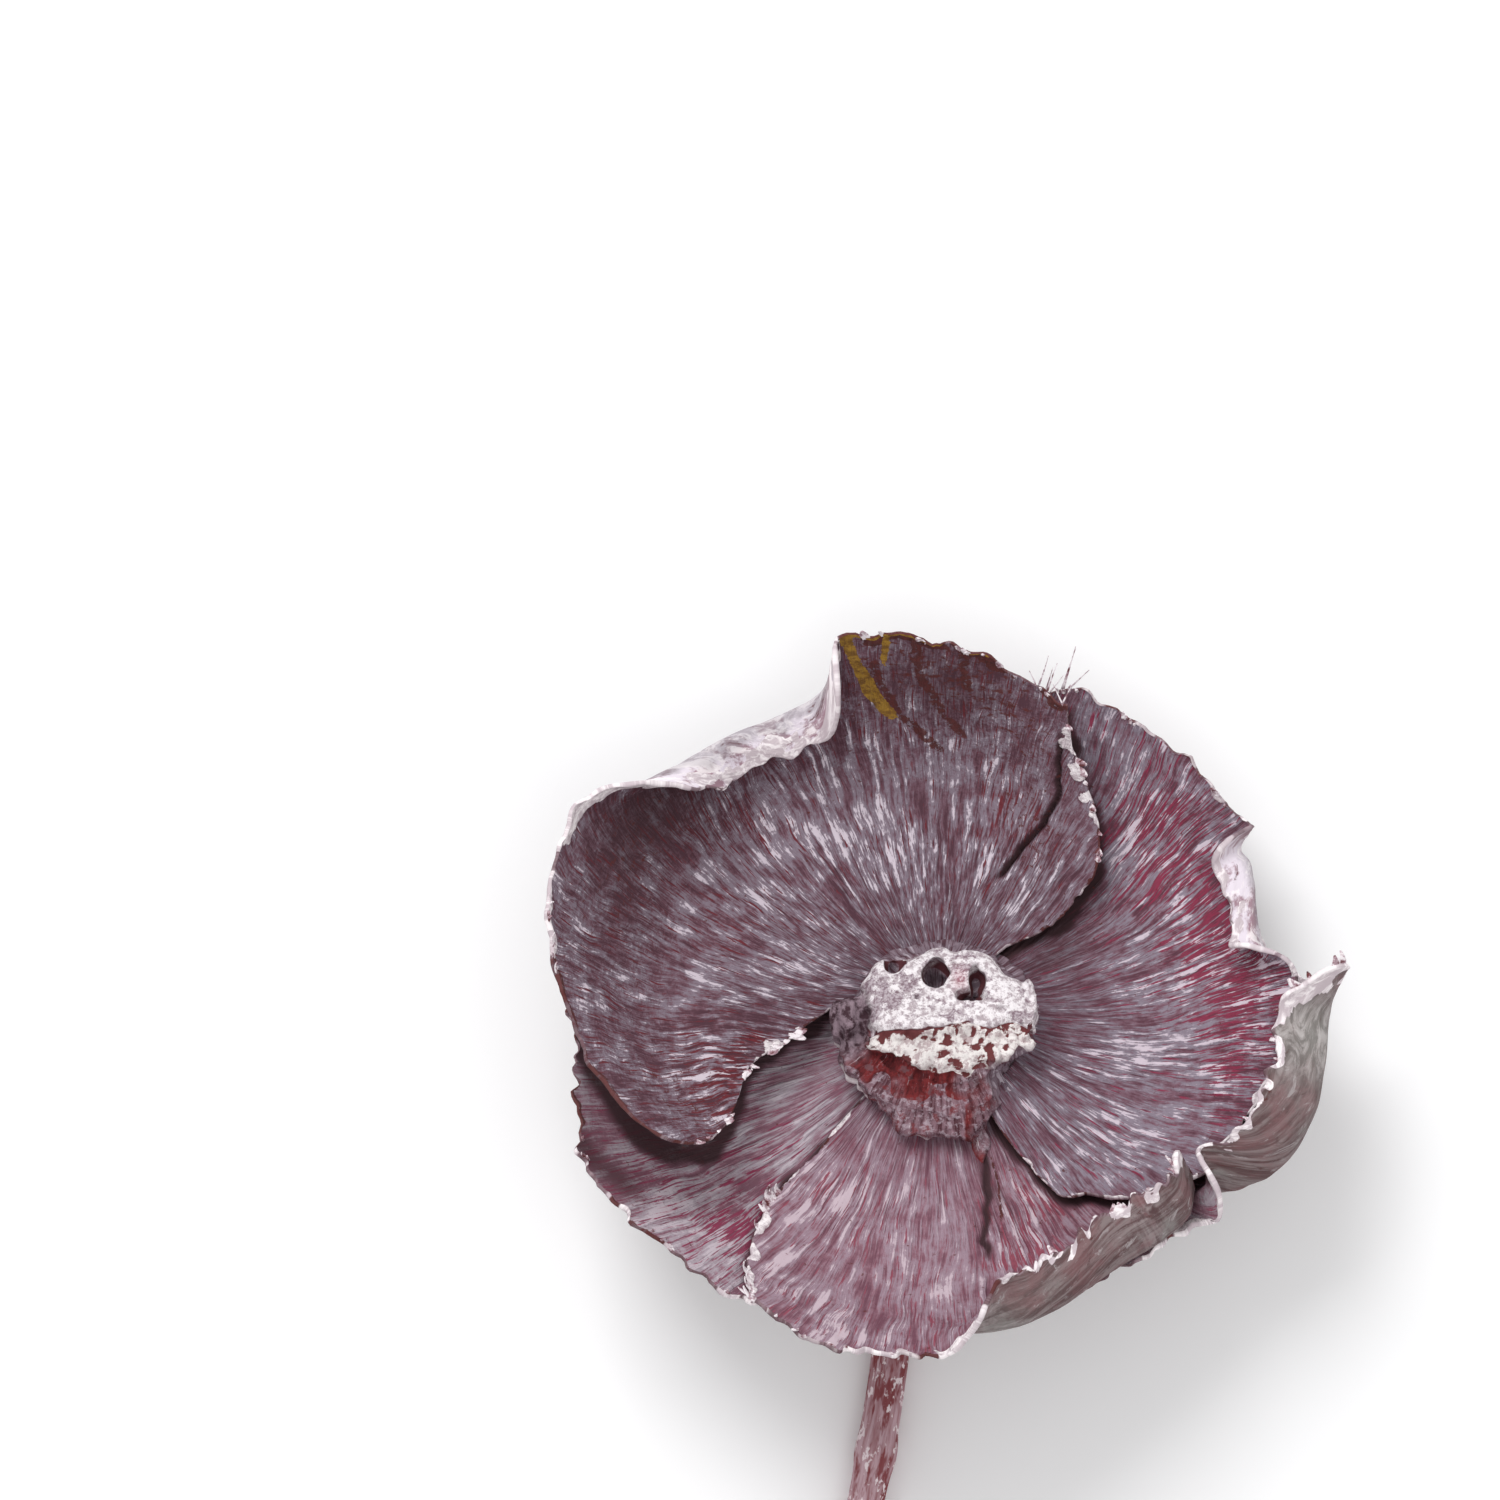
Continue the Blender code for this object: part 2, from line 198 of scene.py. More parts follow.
SCALES = (
    Scale("sepal_top", "sepal", layer=0, seed=3, fine=(220, 100),
          start=((0, 22), (60, 28)), end=((0, 150), (60, 150)),
          rim=((0, 26), (0.1, 31), (0.3, 34), (0.5, 34), (0.7, 32), (0.9, 30), (1, 26))),
    Scale("sepal_left", "sepal", layer=0, seed=4, fine=(240, 120),
          start=((0, 160), (60, 156)), end=((0, 248), (60, 252)),
          rim=((0, 31), (0.13, 35), (0.34, 35), (0.447, 36.5), (0.553, 39.4), (0.638, 39.4),
               (0.755, 36.9), (0.872, 35.4), (1, 31)),
          tear=0.9,
          pale=((0.7, 36, 0.15, 5, 0.9),),
          red=((0.78, 26, 0.06, 5, 1.0), (0.62, 25, 0.2, 12, 0.5)),
          dark=((0.60, 35.5, 0.05, 2.5, 0.7), (0.52, 38, 0.06, 3, 0.8))),
    Scale("sepal_right", "sepal", layer=0, seed=5, fine=(300, 120), coarse=1,
          start=((0, -86), (60, -90)), end=((0, 14), (60, 17)),
          rim=((0, 26), (0.094, 28), (0.3, 29.5), (0.44, 31), (0.48, 34), (0.52, 40.5), (0.56, 44.5),
               (0.61, 46.5), (0.66, 47.5), (0.7, 47.7), (0.75, 47.6), (0.79, 47.2), (0.82, 46.6),
               (0.845, 45), (0.86, 41), (0.88, 36), (0.91, 33), (1, 31)),
          rolls=((0.46, 0.53, 0.76, 0.87, 118, 12),), tear=0.5,
          pale=((0.76, 42, 0.08, 9, 1.0),),
          crusts=((0.4, 0.98, 1.3, 0.9), (0.77, 0.85, 4.5, 1.0))),
    Scale("petal_bottom", "rosy", layer=1, seed=6, fine=(340, 170),
          start=((0, 226), (13, 228), (23, 231), (34, 238), (41, 244), (60, 246)),
          end=((0, 302), (20, 317), (41, 323), (60, 323)),
          rim=((0, 37.5), (0.07, 41), (0.16, 41.2), (0.28, 39.8), (0.34, 40.4), (0.4, 42.4),
               (0.46, 43.6), (0.6, 42.4), (0.75, 40.4), (0.88, 39.6), (0.95, 39), (1, 37.5)),
          rolls=((0.33, 0.5, 0.72, 0.95, 125, 12), (0.72, 0.95, 1, 1.2, 95, 12)),
          tear=0.55, side_tears=(1.1, 0.5),
          pale=((0.1, 22, 0.14, 16, 0.45), (0.28, 20, 0.2, 16, 0.25), (0.75, 18, 0.05, 5, 0.8),
                (0.26, 38, 0.2, 4, 0.7)),
          red=((0.80, 15, 0.07, 6, 1.0), (0.68, 19, 0.06, 4, 0.8), (0.63, 22.5, 0.07, 1.3, 1.3),
               (0.15, 15, 0.15, 8, 0.5), (0.4, 24, 0.12, 10, 0.35)),
          dark=((0.71, 9, 0.025, 6, 0.4), (0.80, 24, 0.05, 8, 0.25)),
          crusts=((0.0, 0.3, 0.9, 0.5), (0.33, 0.4, 2.2, 0.9), (0.45, 1.0, 1.6, 0.8)),
          rust_rims=((0.43, 0.75, 1.0, 0.8),),
          side_crusts=(("start", 20, 39, 1.2, 0.9),),
          rust=((((4, 0.80), (10, 0.735), (16, 0.655)), 0.4),),
          grooves=((((0, 0.85), (8.5, 0.713), (17.8, 0.588), (24, 0.56)), 2, 22, 0.5, 0.35, 0.35),)),
    Scale("petal_right", "mauve", layer=2, seed=7, fine=(400, 160), reach=3.0,
          start=((0, -64), (15, -60), (60, -60)), end=((0, 70), (20, 76), (60, 76)),
          rim=((0, 16), (0.037, 19), (0.127, 27.5), (0.25, 31.4), (0.306, 34), (0.373, 36.8),
               (0.43, 37.8), (0.475, 38.8), (0.53, 40.2), (0.58, 41.8), (0.61, 42.3), (0.625, 41.2),
               (0.64, 39.8), (0.72, 39.4), (0.769, 39.4), (0.866, 40.8), (0.925, 40.8), (1, 37)),
          rolls=((0.44, 0.52, 0.61, 0.635, 150, 8),),
          tear=0.9, side_tears=(0.7, 0.7),
          pale=((0.36, 11, 0.08, 7, 0.8), (0.15, 17, 0.1, 12, 0.8), (0.86, 37, 0.07, 5, 0.6)),
          red=((0.62, 26, 0.12, 9, 0.8), (0.47, 29, 0.09, 9, 1.2), (0.33, 27, 0.08, 5, 0.8),
               (0.75, 29, 0.07, 9, 0.7)),
          dark=((0.72, 5, 0.07, 7, 0.45), (0.52, 3, 0.14, 5, 0.15)),
          lips=((0.43, 0.65, 8, 1.0),),
          crusts=((0.02, 0.42, 1.0, 0.6), (0.44, 0.64, 3.0, 1.0), (0.68, 0.95, 0.7, 0.5)),
          rust_rims=((0.66, 1.0, 0.8, 0.6), (0.36, 0.44, 0.9, 0.7))),
    Scale("petal_top", "plum", layer=3, seed=8, fine=(410, 180), reach=3.4,
          start=((0, 50), (7, 42), (16, 41), (22, 45), (28, 53), (35, 61), (44, 65), (60, 66)),
          end=((0, 176), (8, 194), (15, 203), (19, 211), (28, 219.5), (38, 219), (60, 217)),
          rim=((0, 43), (0.06, 45), (0.1, 48.2), (0.22, 50), (0.27, 50), (0.3, 48.5), (0.36, 47.5),
               (0.42, 48.8), (0.48, 50.6), (0.54, 52.2), (0.6, 53.4), (0.64, 53.6), (0.7, 52.6),
               (0.775, 49.2), (0.85, 46.4), (0.905, 44.6), (0.95, 43.6), (0.98, 42), (1, 38.5)),
          rolls=((0.27, 0.33, 0.45, 0.63, 160, 11),), lifts=((0, 0.3, 3.8), (1, 0.4, 4.8)),
          tear=0.8, tears=((0.13, 0.09, 1.2),), side_tears=(1.3, 1.1),
          pale=((0.40, 16, 0.09, 11, 1.0), (0.78, 7, 0.09, 7, 0.7), (0.22, 26, 0.07, 12, 0.35),
                (0.6, 16, 0.1, 9, 0.3)),
          red=((0.97, 18, 0.04, 10, 0.9), (0.9, 24, 0.08, 8, 0.6), (0.66, 22, 0.08, 12, 0.35),
               (0.13, 22, 0.06, 9, 0.5), (0.5, 30, 0.06, 9, 0.3)),
          dark=((0.55, 41, 0.11, 9, 0.6), (0.68, 34, 0.06, 8, 0.12), (0.16, 42, 0.1, 8, 0.35)),
          rust_spots=((0.17, 44, 0.08, 8, 0.38), (0.07, 38, 0.05, 9, 0.3), (0.3, 38, 0.05, 8, 0.25),
                      (0.93, 30, 0.06, 8, 0.25), (0.12, 20, 0.05, 9, 0.25), (0.6, 40, 0.1, 7, 0.22)),
          lips=((0.27, 0.64, 11, 1.0),),
          crusts=((0.27, 0.66, 3.0, 1.0), (0.68, 0.74, 1.2, 0.8)),
          rust_rims=((0.0, 0.245, 2.4, 1.0), (0.77, 1.0, 0.9, 0.8)),
          ochre_rims=((0.10, 0.26),),
          side_crusts=(("start", 24, 42, 1.7, 1.0), ("end", 4, 16, 1.4, 0.9)),
          rust=((((27, 0.206), (33, 0.222), (39, 0.232), (46, 0.236)), 0.7),
                (((30, 0.165), (37, 0.178), (44, 0.182), (50, 0.185)), 0.8),
                (((38, 0.13), (44, 0.132), (50, 0.128)), 0.6),
                (((36, 0.245), (41, 0.24), (46, 0.232)), 0.5)),
          ochre=((((33, 0.236), (38, 0.244), (43, 0.252), (51, 0.264)), 0.95),
                 (((42, 0.222), (46, 0.219), (51, 0.216)), 0.4)),
          grooves=((((8, 0.19), (10.8, 0.173), (14.7, 0.152), (19.8, 0.113), (26.7, 0.058), (36, 0.012)),
                    9, 38, 0.32, 0.75, 0.7),)),
)


def roll_strength(u, begin, full, hold, finish):
    """How fully the rim is rolled at a place, from 0 to 1."""
    return smooth((u - begin) / (full - begin)) * smooth((finish - u) / (finish - hold))


def scale_surface(scale, u, v):
    """Back face of a scale in the cup's frame in mm, its s and angles, and the length at each place."""
    t = np.linspace(0, 1, PATH_STEPS + 1)
    draw = np.random.default_rng(scale.seed)
    outline = curve_through(u, scale.rim)
    length = outline.copy()
    for waves in (7, 12, 19, 27):
        strength = draw.uniform(0.6, 1.0)
        length = length + TORN_EDGE * strength * np.sin(2 * np.pi * (waves * u + draw.uniform()))
    place = u[:, None]
    s = length[:, None] * t[None, :] - scale.reach * (1 - t[None, :])

    # Fine tears at the rim and at the side edges
    around = u * 2.2 * scale.rim[len(scale.rim) // 2][1]
    depth = scale.tear + sum(more * bump((u - at) / wide) for at, wide, more in scale.tears)
    torn = depth * ragged(around, scale.seed + 20)
    s = s - torn[:, None] * smooth((s - (length[:, None] - TEAR_REACH)) / TEAR_REACH)
    first, last = curve_through(s, scale.start), curve_through(s, scale.end)
    wide = np.radians(last - first) * (ROOT_RADIUS + 0.9 * s)
    open_part = smooth((s - 4) / 6)
    cut_start = scale.side_tears[0] * ragged(s, scale.seed + 21) * open_part / wide
    cut_end = scale.side_tears[1] * ragged(s, scale.seed + 22) * open_part / wide
    keep = smooth(1 - place * wide / 6), smooth(1 - (1 - place) * wide / 6)
    place = place + cut_start * keep[0] - cut_end * keep[1]
    phi = np.radians(first * (1 - place) + last * place)

    # The path from root to rim, set off from the cup's middle surface by layer, pleats and lifts
    rim_slope = SIDE_SLOPE + BACK_SLOPE * np.sin(phi)
    bend = np.clip(s / SLOPE_LENGTH, 0, 2) ** SLOPE_POWER
    slope = np.radians(ROOT_SLOPE + (rim_slope - ROOT_SLOPE) * bend)
    step = np.diff(s, axis=1)
    middle = 0.5 * (slope[:, 1:] + slope[:, :-1])
    root = math.radians(ROOT_SLOPE)
    foot = ROOT_RADIUS - ROOT_SHIFT * np.sin(phi) - scale.reach * math.cos(root)
    r = foot + running_sum(np.cos(middle) * step)
    h = running_sum(np.sin(middle) * step) - scale.reach * math.sin(root)
    pleat = np.sin(5 * phi + 0.9) + 0.5 * np.sin(9 * phi + 2.0 + s / 14) + 0.35 * np.sin(14 * phi + s / 9)
    inset = scale.layer * (LAYER_STEP + LAYER_SPREAD * np.clip(s / SLOPE_LENGTH, 0, 1))
    inset = inset + PLEAT_HEIGHT * pleat * smooth((s - 4) / 30)
    for centre, width, height in scale.lifts:
        off = height * smooth(1 - np.abs(u - centre) / width)
        inset = inset + off[:, None] * smooth(s / (0.6 * SLOPE_LENGTH))
    r = r - np.sin(slope) * inset
    h = h + np.cos(slope) * inset

    # Rolled rims turn the path over
    dr, dh = np.diff(r, axis=1), np.diff(h, axis=1)
    run, heading = np.hypot(dr, dh), np.arctan2(dh, dr)
    middle = 0.5 * (s[:, 1:] + s[:, :-1])
    for *places, angle, width in scale.rolls:
        x = np.clip((middle - (outline[:, None] - width)) / width, 0, 1)
        heading = heading + np.radians(angle) * roll_strength(u, *places)[:, None] * smooth(1.35 * x)
    r = r[:, :1] + running_sum(run * np.cos(heading))
    h = h[:, :1] + running_sum(run * np.sin(heading))

    points = np.stack([r * np.cos(phi), r * np.sin(phi), h, s, phi], axis=-1)
    at = v * PATH_STEPS
    low = np.clip(at.astype(int), 0, PATH_STEPS - 1)
    part = (at - low)[None, :, None]
    points = points[:, low] * (1 - part) + points[:, low + 1] * part
    return points[..., :3], points[..., 3], points[..., 4], length


# Meshes

def add_object(name, data):
    thing = bpy.data.objects.new(name, data)
    bpy.context.scene.collection.objects.link(thing)
    return thing


def add_marks(mesh, marks):
    """Give each point of a mesh its marks, which the materials read."""
    for mark, values in marks.items():
        layer = mesh.attributes.new(mark, "FLOAT", "POINT")
        layer.data.foreach_set("value", np.asarray(values, np.float32).reshape(-1))


def mesh_from(name, points, polygons, marks=None, materials=(), slots=None):
    """A smooth mesh from points, lists of equal-sided polygons, and point marks."""
    mesh = bpy.data.meshes.new(name)
    corners = np.concatenate([np.asarray(p).reshape(-1) for p in polygons]).astype(np.int32)
    sizes = np.concatenate([np.full(len(p), np.asarray(p).shape[1]) for p in polygons])
    starts = np.concatenate([[0], np.cumsum(sizes)[:-1]]).astype(np.int32)
    mesh.vertices.add(len(points))
    mesh.vertices.foreach_set("co", np.asarray(points, np.float32).reshape(-1))
    mesh.loops.add(len(corners))
    mesh.loops.foreach_set("vertex_index", corners)
    mesh.polygons.add(len(sizes))
    mesh.polygons.foreach_set("loop_start", starts)
    if slots is not None:
        slot_of = np.concatenate([np.full(len(p), slot) for p, slot in zip(polygons, slots)])
        mesh.polygons.foreach_set("material_index", slot_of.astype(np.int32))
    mesh.update(calc_edges=True)
    mesh.validate()
    add_marks(mesh, marks or {})
    for material in materials:
        mesh.materials.append(material)
    mesh.shade_smooth()
    return add_object(name, mesh)


def after(n):
    """The places 0 to n - 1 round a ring, and the next place of each."""
    return np.arange(n), (np.arange(n) + 1) % n


def grid_quads(columns, rows, first, flip):
    i, j = np.meshgrid(np.arange(columns), np.arange(rows), indexing="ij")
    a = first + i * (rows + 1) + j
    quads = np.stack([a, a + rows + 1, a + rows + 2, a + 1], axis=-1).reshape(-1, 4)
    return quads[:, ::-1] if flip else quads


def grid_border(columns, rows):
    """Grid places round the outside, in order."""
    border = [(i, 0) for i in range(columns + 1)] + [(columns, j) for j in range(1, rows + 1)]
    border += [(i, rows) for i in range(columns - 1, -1, -1)] + [(0, j) for j in range(rows - 1, 0, -1)]
    return np.array(border)


def tube(path, wide, high, sides, up=(0, 0, 1)):
    """A closed rod along a path, oval in section: wide across, high along up."""
    path = np.asarray(path, float)
    n = len(path)
    wide, high = np.broadcast_to(wide, n), np.broadcast_to(high, n)
    ahead = np.gradient(path, axis=0)
    ahead /= np.linalg.norm(ahead, axis=1, keepdims=True)
    across = np.cross(ahead, np.array(up, float))
    across /= np.linalg.norm(across, axis=1, keepdims=True)
    over = np.cross(across, ahead)
    angle = 2 * np.pi * np.arange(sides) / sides
    ring = path[:, None] + wide[:, None, None] * across[:, None] * np.cos(angle)[None, :, None] \
        + high[:, None, None] * over[:, None] * np.sin(angle)[None, :, None]
    points = np.concatenate([ring.reshape(-1, 3), path[:1], path[-1:]])
    k, k_next = after(sides)
    quads = [np.stack([a + k, a + k_next, a + sides + k_next, a + sides + k], axis=-1)
             for a in range(0, (n - 1) * sides, sides)]
    first, last = np.full(sides, n * sides), np.full(sides, n * sides + 1)
    tris = np.concatenate([np.stack([first, k_next, k], axis=-1),
                           np.stack([last, (n - 1) * sides + k, (n - 1) * sides + k_next], axis=-1)])
    return points, np.concatenate(quads), tris


def joined(parts):
    """Parts of points, quads and triangles as one."""
    points, quads, tris, count = [], [], [], 0
    for p, q, t in parts:
        points.append(p)
        quads.append(q + count)
        tris.append(t + count)
        count += len(p)
    return np.concatenate(points), np.concatenate(quads), np.concatenate(tris)


def arc(points, steps):
    """A smooth path through points in space."""
    points = np.array(points, float)
    t = np.linspace(0, len(points) - 1, steps)
    knots = np.arange(len(points))
    return np.stack([curve_through(t, np.stack([knots, row], axis=-1)) for row in points.T], axis=-1)


# Scales

def outline_distance(places, outline):
    """Distance from places on a plane to a closed outline, below 0 inside it."""
    flat = places.reshape(-1, 2)
    near, inside = np.full(len(flat), 1e9), np.zeros(len(flat), bool)
    for a, b in zip(outline, np.roll(outline, -1, axis=0)):
        edge = b - a
        t = np.clip((flat - a) @ edge / (edge @ edge + 1e-12), 0, 1)
        near = np.minimum(near, ((flat - a - t[:, None] * edge) ** 2).sum(axis=1))
        crosses = (a[1] > flat[:, 1]) != (b[1] > flat[:, 1])
        inside ^= crosses & (flat[:, 0] < a[0] + (flat[:, 1] - a[1]) * edge[0] / (edge[1] or 1e-12))
    return (np.where(inside, -1, 1) * np.sqrt(near)).reshape(places.shape[:-1])


def seen_outline(scale):
    """The outline of a scale from straight above, in world mm."""
    columns, rows = 110, 60
    points = scale_surface(scale, np.linspace(0, 1, columns + 1), np.linspace(0, 1, rows + 1))[0]
    i, j = grid_border(columns, rows).T
    return to_world(points[i, j])[:, :2] / MM


OUTLINES = {scale.name: seen_outline(scale) for scale in SCALES}


class Shell:
    """A scale's fine grid: its back face, with the place, grain and distances of each point in mm."""

    def __init__(self, scale):
        columns, rows = scale.fine
        self.scale = scale
        self.u = np.linspace(0, 1, columns + 1)
        v = 1 - (1 - np.linspace(0, 1, rows + 1)) ** RIM_ROWS
        self.back, self.s, phi, self.length = scale_surface(scale, self.u, v)
        self.place = np.repeat(self.u[:, None], rows + 1, axis=1)
        self.along, self.across = np.gradient(self.back, axis=1), np.gradient(self.back, axis=0)
        self.up = np.cross(self.along, self.across)
        self.up /= np.linalg.norm(self.up, axis=-1, keepdims=True)
        pieces = np.linalg.norm(np.diff(self.back, axis=0), axis=-1)
        self.from_start = np.concatenate([np.zeros((1, rows + 1)), np.cumsum(pieces, axis=0)])
        self.width = self.from_start[-1]
        self.from_end = self.width - self.from_start
        self.to_rim = self.s[:, -1:] - self.s
        self.edge = np.minimum(np.minimum(self.from_start, self.from_end), self.to_rim)
        self.grain = GRAIN_RADIUS * phi
        self.wander = self.grain + 0.8 * self.noise(9, 14, 1) + 0.25 * self.noise(2.5, 3.5, 16)

    def noise(self, wide, long, seed, wandering=False):
        """Noise of this size in mm across the grain and along it."""
        across = self.wander if wandering else self.grain
        return noise2(across / wide, self.s / long, self.scale.seed + seed)

    def stretch(self, begin, end):
        """1 between two places along the rim."""
        return smooth((self.place - begin) / 0.02 + 0.5) * smooth((end - self.place) / 0.02 + 0.5)

    def spots(self, marks):
        """The sum of soft round marks."""
        return round_marks(marks, self.place, self.s)

    def stroke(self, path, wide, seed):
        """1 along a ragged line through (s, place), wide mm to each side."""
        s, seed = self.s, self.scale.seed + seed
        path = np.array(path)
        off = (self.place - np.interp(s, path[:, 0], path[:, 1])) * self.width.mean()
        off = off + 0.35 * noise2(s / 3.0, 0.5, seed)
        shown = smooth((s - path[0, 0]) / 3) * smooth((path[-1, 0] - s) / 1.5)
        spread = wide * (0.85 + 0.4 * noise2(s / 1.7, 4.5, seed + 1)) * shown
        return smooth((spread - np.abs(off)) / 0.3 + 0.5) * shown


def round_marks(marks, x, y):
    """The sum of soft round marks at (x, y), spread of both, strength."""
    total = np.zeros(np.broadcast(x, y).shape)
    for at_x, at_y, wide, long, strength in marks:
        total += strength * bump((x - at_x) / wide) * bump((y - at_y) / long)
    return total


def overlap_shade(shell):
    """Painted shadow under the edges of the scales that lie over this one, seen from straight above."""
    plan = to_world(shell.back)[..., :2] / MM
    soft = 1.4 + 0.6 * shell.noise(3, 3, 60)
    shade = np.zeros_like(shell.s)
    for above in SCALES:
        if above.layer > shell.scale.layer:
            gap = outline_distance(plan - np.array(SHADE_SIDE), OUTLINES[above.name])
            shade = np.maximum(shade, smooth((soft - gap) / 1.3) * (0.4 + 0.6 * smooth((gap + 5) / 4)))
    return shade


def rolled_bands(shell):
    """1 where the rim has rolled over."""
    rolled = np.zeros_like(shell.s)
    for *places, _, band in shell.scale.rolls:
        strength = roll_strength(shell.place, *places)
        rolled = np.maximum(rolled, strength * smooth((band + 1 - shell.to_rim) / 3))
    return rolled


def cut_grooves(shell, relief, dark):
    """Cuts with a raised far side, with painted shade at the bottom."""
    s = shell.s
    for path, first, last, spread, depth, lift in shell.scale.grooves:
        path = np.array(path)
        off = (shell.place - np.interp(s, path[:, 0], path[:, 1])) * shell.width
        shown = smooth((s - first) / 3) * smooth((last - s) / 3)
        wobble = 0.35 * noise2(s / 1.6, 0.5, shell.scale.seed + 9)
        cut = bump((off + wobble) / spread) * shown
        relief = relief - depth * cut + lift * shown * smooth(1 - off / 7) * (off + wobble > 0)
        # Painted shade in the bottom of the cut
        dark = dark + 1.2 * cut
    return relief, dark


def edge_paint(shell):
    """White crust, rust and ochre on the edges and in strokes, each from 0 to 1."""
    scale, s, to_rim, edge = shell.scale, shell.s, shell.to_rim, shell.edge
    patch = 0.5 + 0.5 * shell.noise(2.1, 2.1, 6) + 0.25 * shell.noise(0.8, 0.8, 7)
    broken = 0.5 + 0.5 * shell.noise(4.5, 4.5, 14) + 0.3 * shell.noise(1.3, 1.3, 15)
    crust, ochre = np.zeros_like(s), np.zeros_like(s)
    for begin, end, wide, strength in scale.crusts:
        reach = smooth((wide * (1.6 * patch - 0.3) - to_rim) / 0.4)
        crust = np.maximum(crust, strength * shell.stretch(begin, end) * reach)
    for side, begin, end, wide, strength in scale.side_crusts:
        away = shell.from_start if side == "start" else shell.from_end
        near = smooth((s - begin) / 1.5) * smooth((end - s) / 1.5)
        crust = np.maximum(crust, strength * near * smooth((wide * (1.8 * patch - 0.4) - away) / 0.3))
    thin_line = smooth((1.5 * patch * (broken - 0.38) - edge) / 0.25)
    rust = 0.9 * smooth((0.55 * patch - edge) / 0.3) * smooth((0.55 - broken) / 0.1)
    for begin, end, wide, strength in scale.rust_rims:
        near = shell.stretch(begin, end)
        thin_line = thin_line * (1 - 0.8 * near)
        rust = np.maximum(rust, strength * near * smooth((wide * patch * 1.3 - to_rim) / 0.5))
    rust = np.maximum(rust, shell.spots(scale.rust_spots))
    for number, (path, wide) in enumerate(scale.rust):
        rust = np.maximum(rust, 0.74 * shell.stroke(path, wide, 50 + 2 * number))
    for begin, end in scale.ochre_rims:
        ochre = np.maximum(ochre, shell.stretch(begin, end) * smooth((0.9 * patch - to_rim) / 0.4))
    for number, (path, wide) in enumerate(scale.ochre):
        ochre = np.maximum(ochre, shell.stroke(path, wide, 70 + 2 * number))
    return np.maximum(crust, 0.85 * thin_line), rust, ochre


def white_lips(shell):
    """1 on the white turned-over rims."""
    lip = np.zeros_like(shell.s)
    for begin, end, wide, strength in shell.scale.lips:
        near = smooth((shell.place - begin) / 0.04) * smooth((end - shell.place) / 0.04)
        lip = np.maximum(lip, strength * near * smooth((wide - shell.to_rim) / 2.0 + 0.5))
    return lip


def shell_mesh(shell, inner, outer, marks, materials):
    """Join the inner face and the coarser back by a broken edge that stands slightly proud."""
    scale = shell.scale
    columns, rows = scale.fine
    k = scale.coarse
    border = grid_border(columns, rows)
    bi, bj = border.T
    out = np.zeros_like(inner)
    out[0], out[-1] = -shell.across[0], shell.across[-1]
    out[:, 0], out[:, -1] = -shell.along[:, 0], shell.along[:, -1]
    out = out[bi, bj] / np.linalg.norm(out[bi, bj], axis=-1, keepdims=True)
    proud = 0.10 + 0.10 * noise2(np.arange(len(border)) / 2.0, 0.5, scale.seed + 13)
    ring = 0.5 * (inner[bi, bj] + outer[bi, bj]) + out * proud[:, None]
    coarse = np.ix_(np.arange(0, columns + 1, k), np.arange(0, rows + 1, k))
    points = np.concatenate([inner.reshape(-1, 3), outer[coarse].reshape(-1, 3), ring])
    marks = {mark: np.concatenate([values.reshape(-1), values[coarse].reshape(-1), values[bi, bj]])
             for mark, values in marks.items()}

    first_out = (columns + 1) * (rows + 1)
    first_ring = len(points) - len(ring)
    here, here_next = after(len(border))
    inside = bi * (rows + 1) + bj
    strip = np.stack([inside[here], inside[here_next], first_ring + here_next, first_ring + here], axis=-1)
    ci, cj = grid_border(columns // k, rows // k).T
    outside = first_out + ci * (rows // k + 1) + cj
    c, c_next = after(len(outside))
    if k == 1:
        closing = np.stack([first_ring + c, first_ring + c_next, outside[c_next], outside[c]], axis=-1)
    else:
        a, b, d = first_ring + 2 * c, first_ring + 2 * c + 1, first_ring + (2 * c + 2) % len(border)
        closing = np.concatenate([np.stack([a, b, outside[c]], axis=-1),
                                  np.stack([b, outside[c_next], outside[c]], axis=-1),
                                  np.stack([b, d, outside[c_next]], axis=-1)])
    polygons = [grid_quads(columns, rows, 0, True), grid_quads(columns // k, rows // k, first_out, False),
                strip, closing]
    return mesh_from(scale.name + "_skin", to_world(points), polygons, marks, materials, (0, 1, 1, 1))


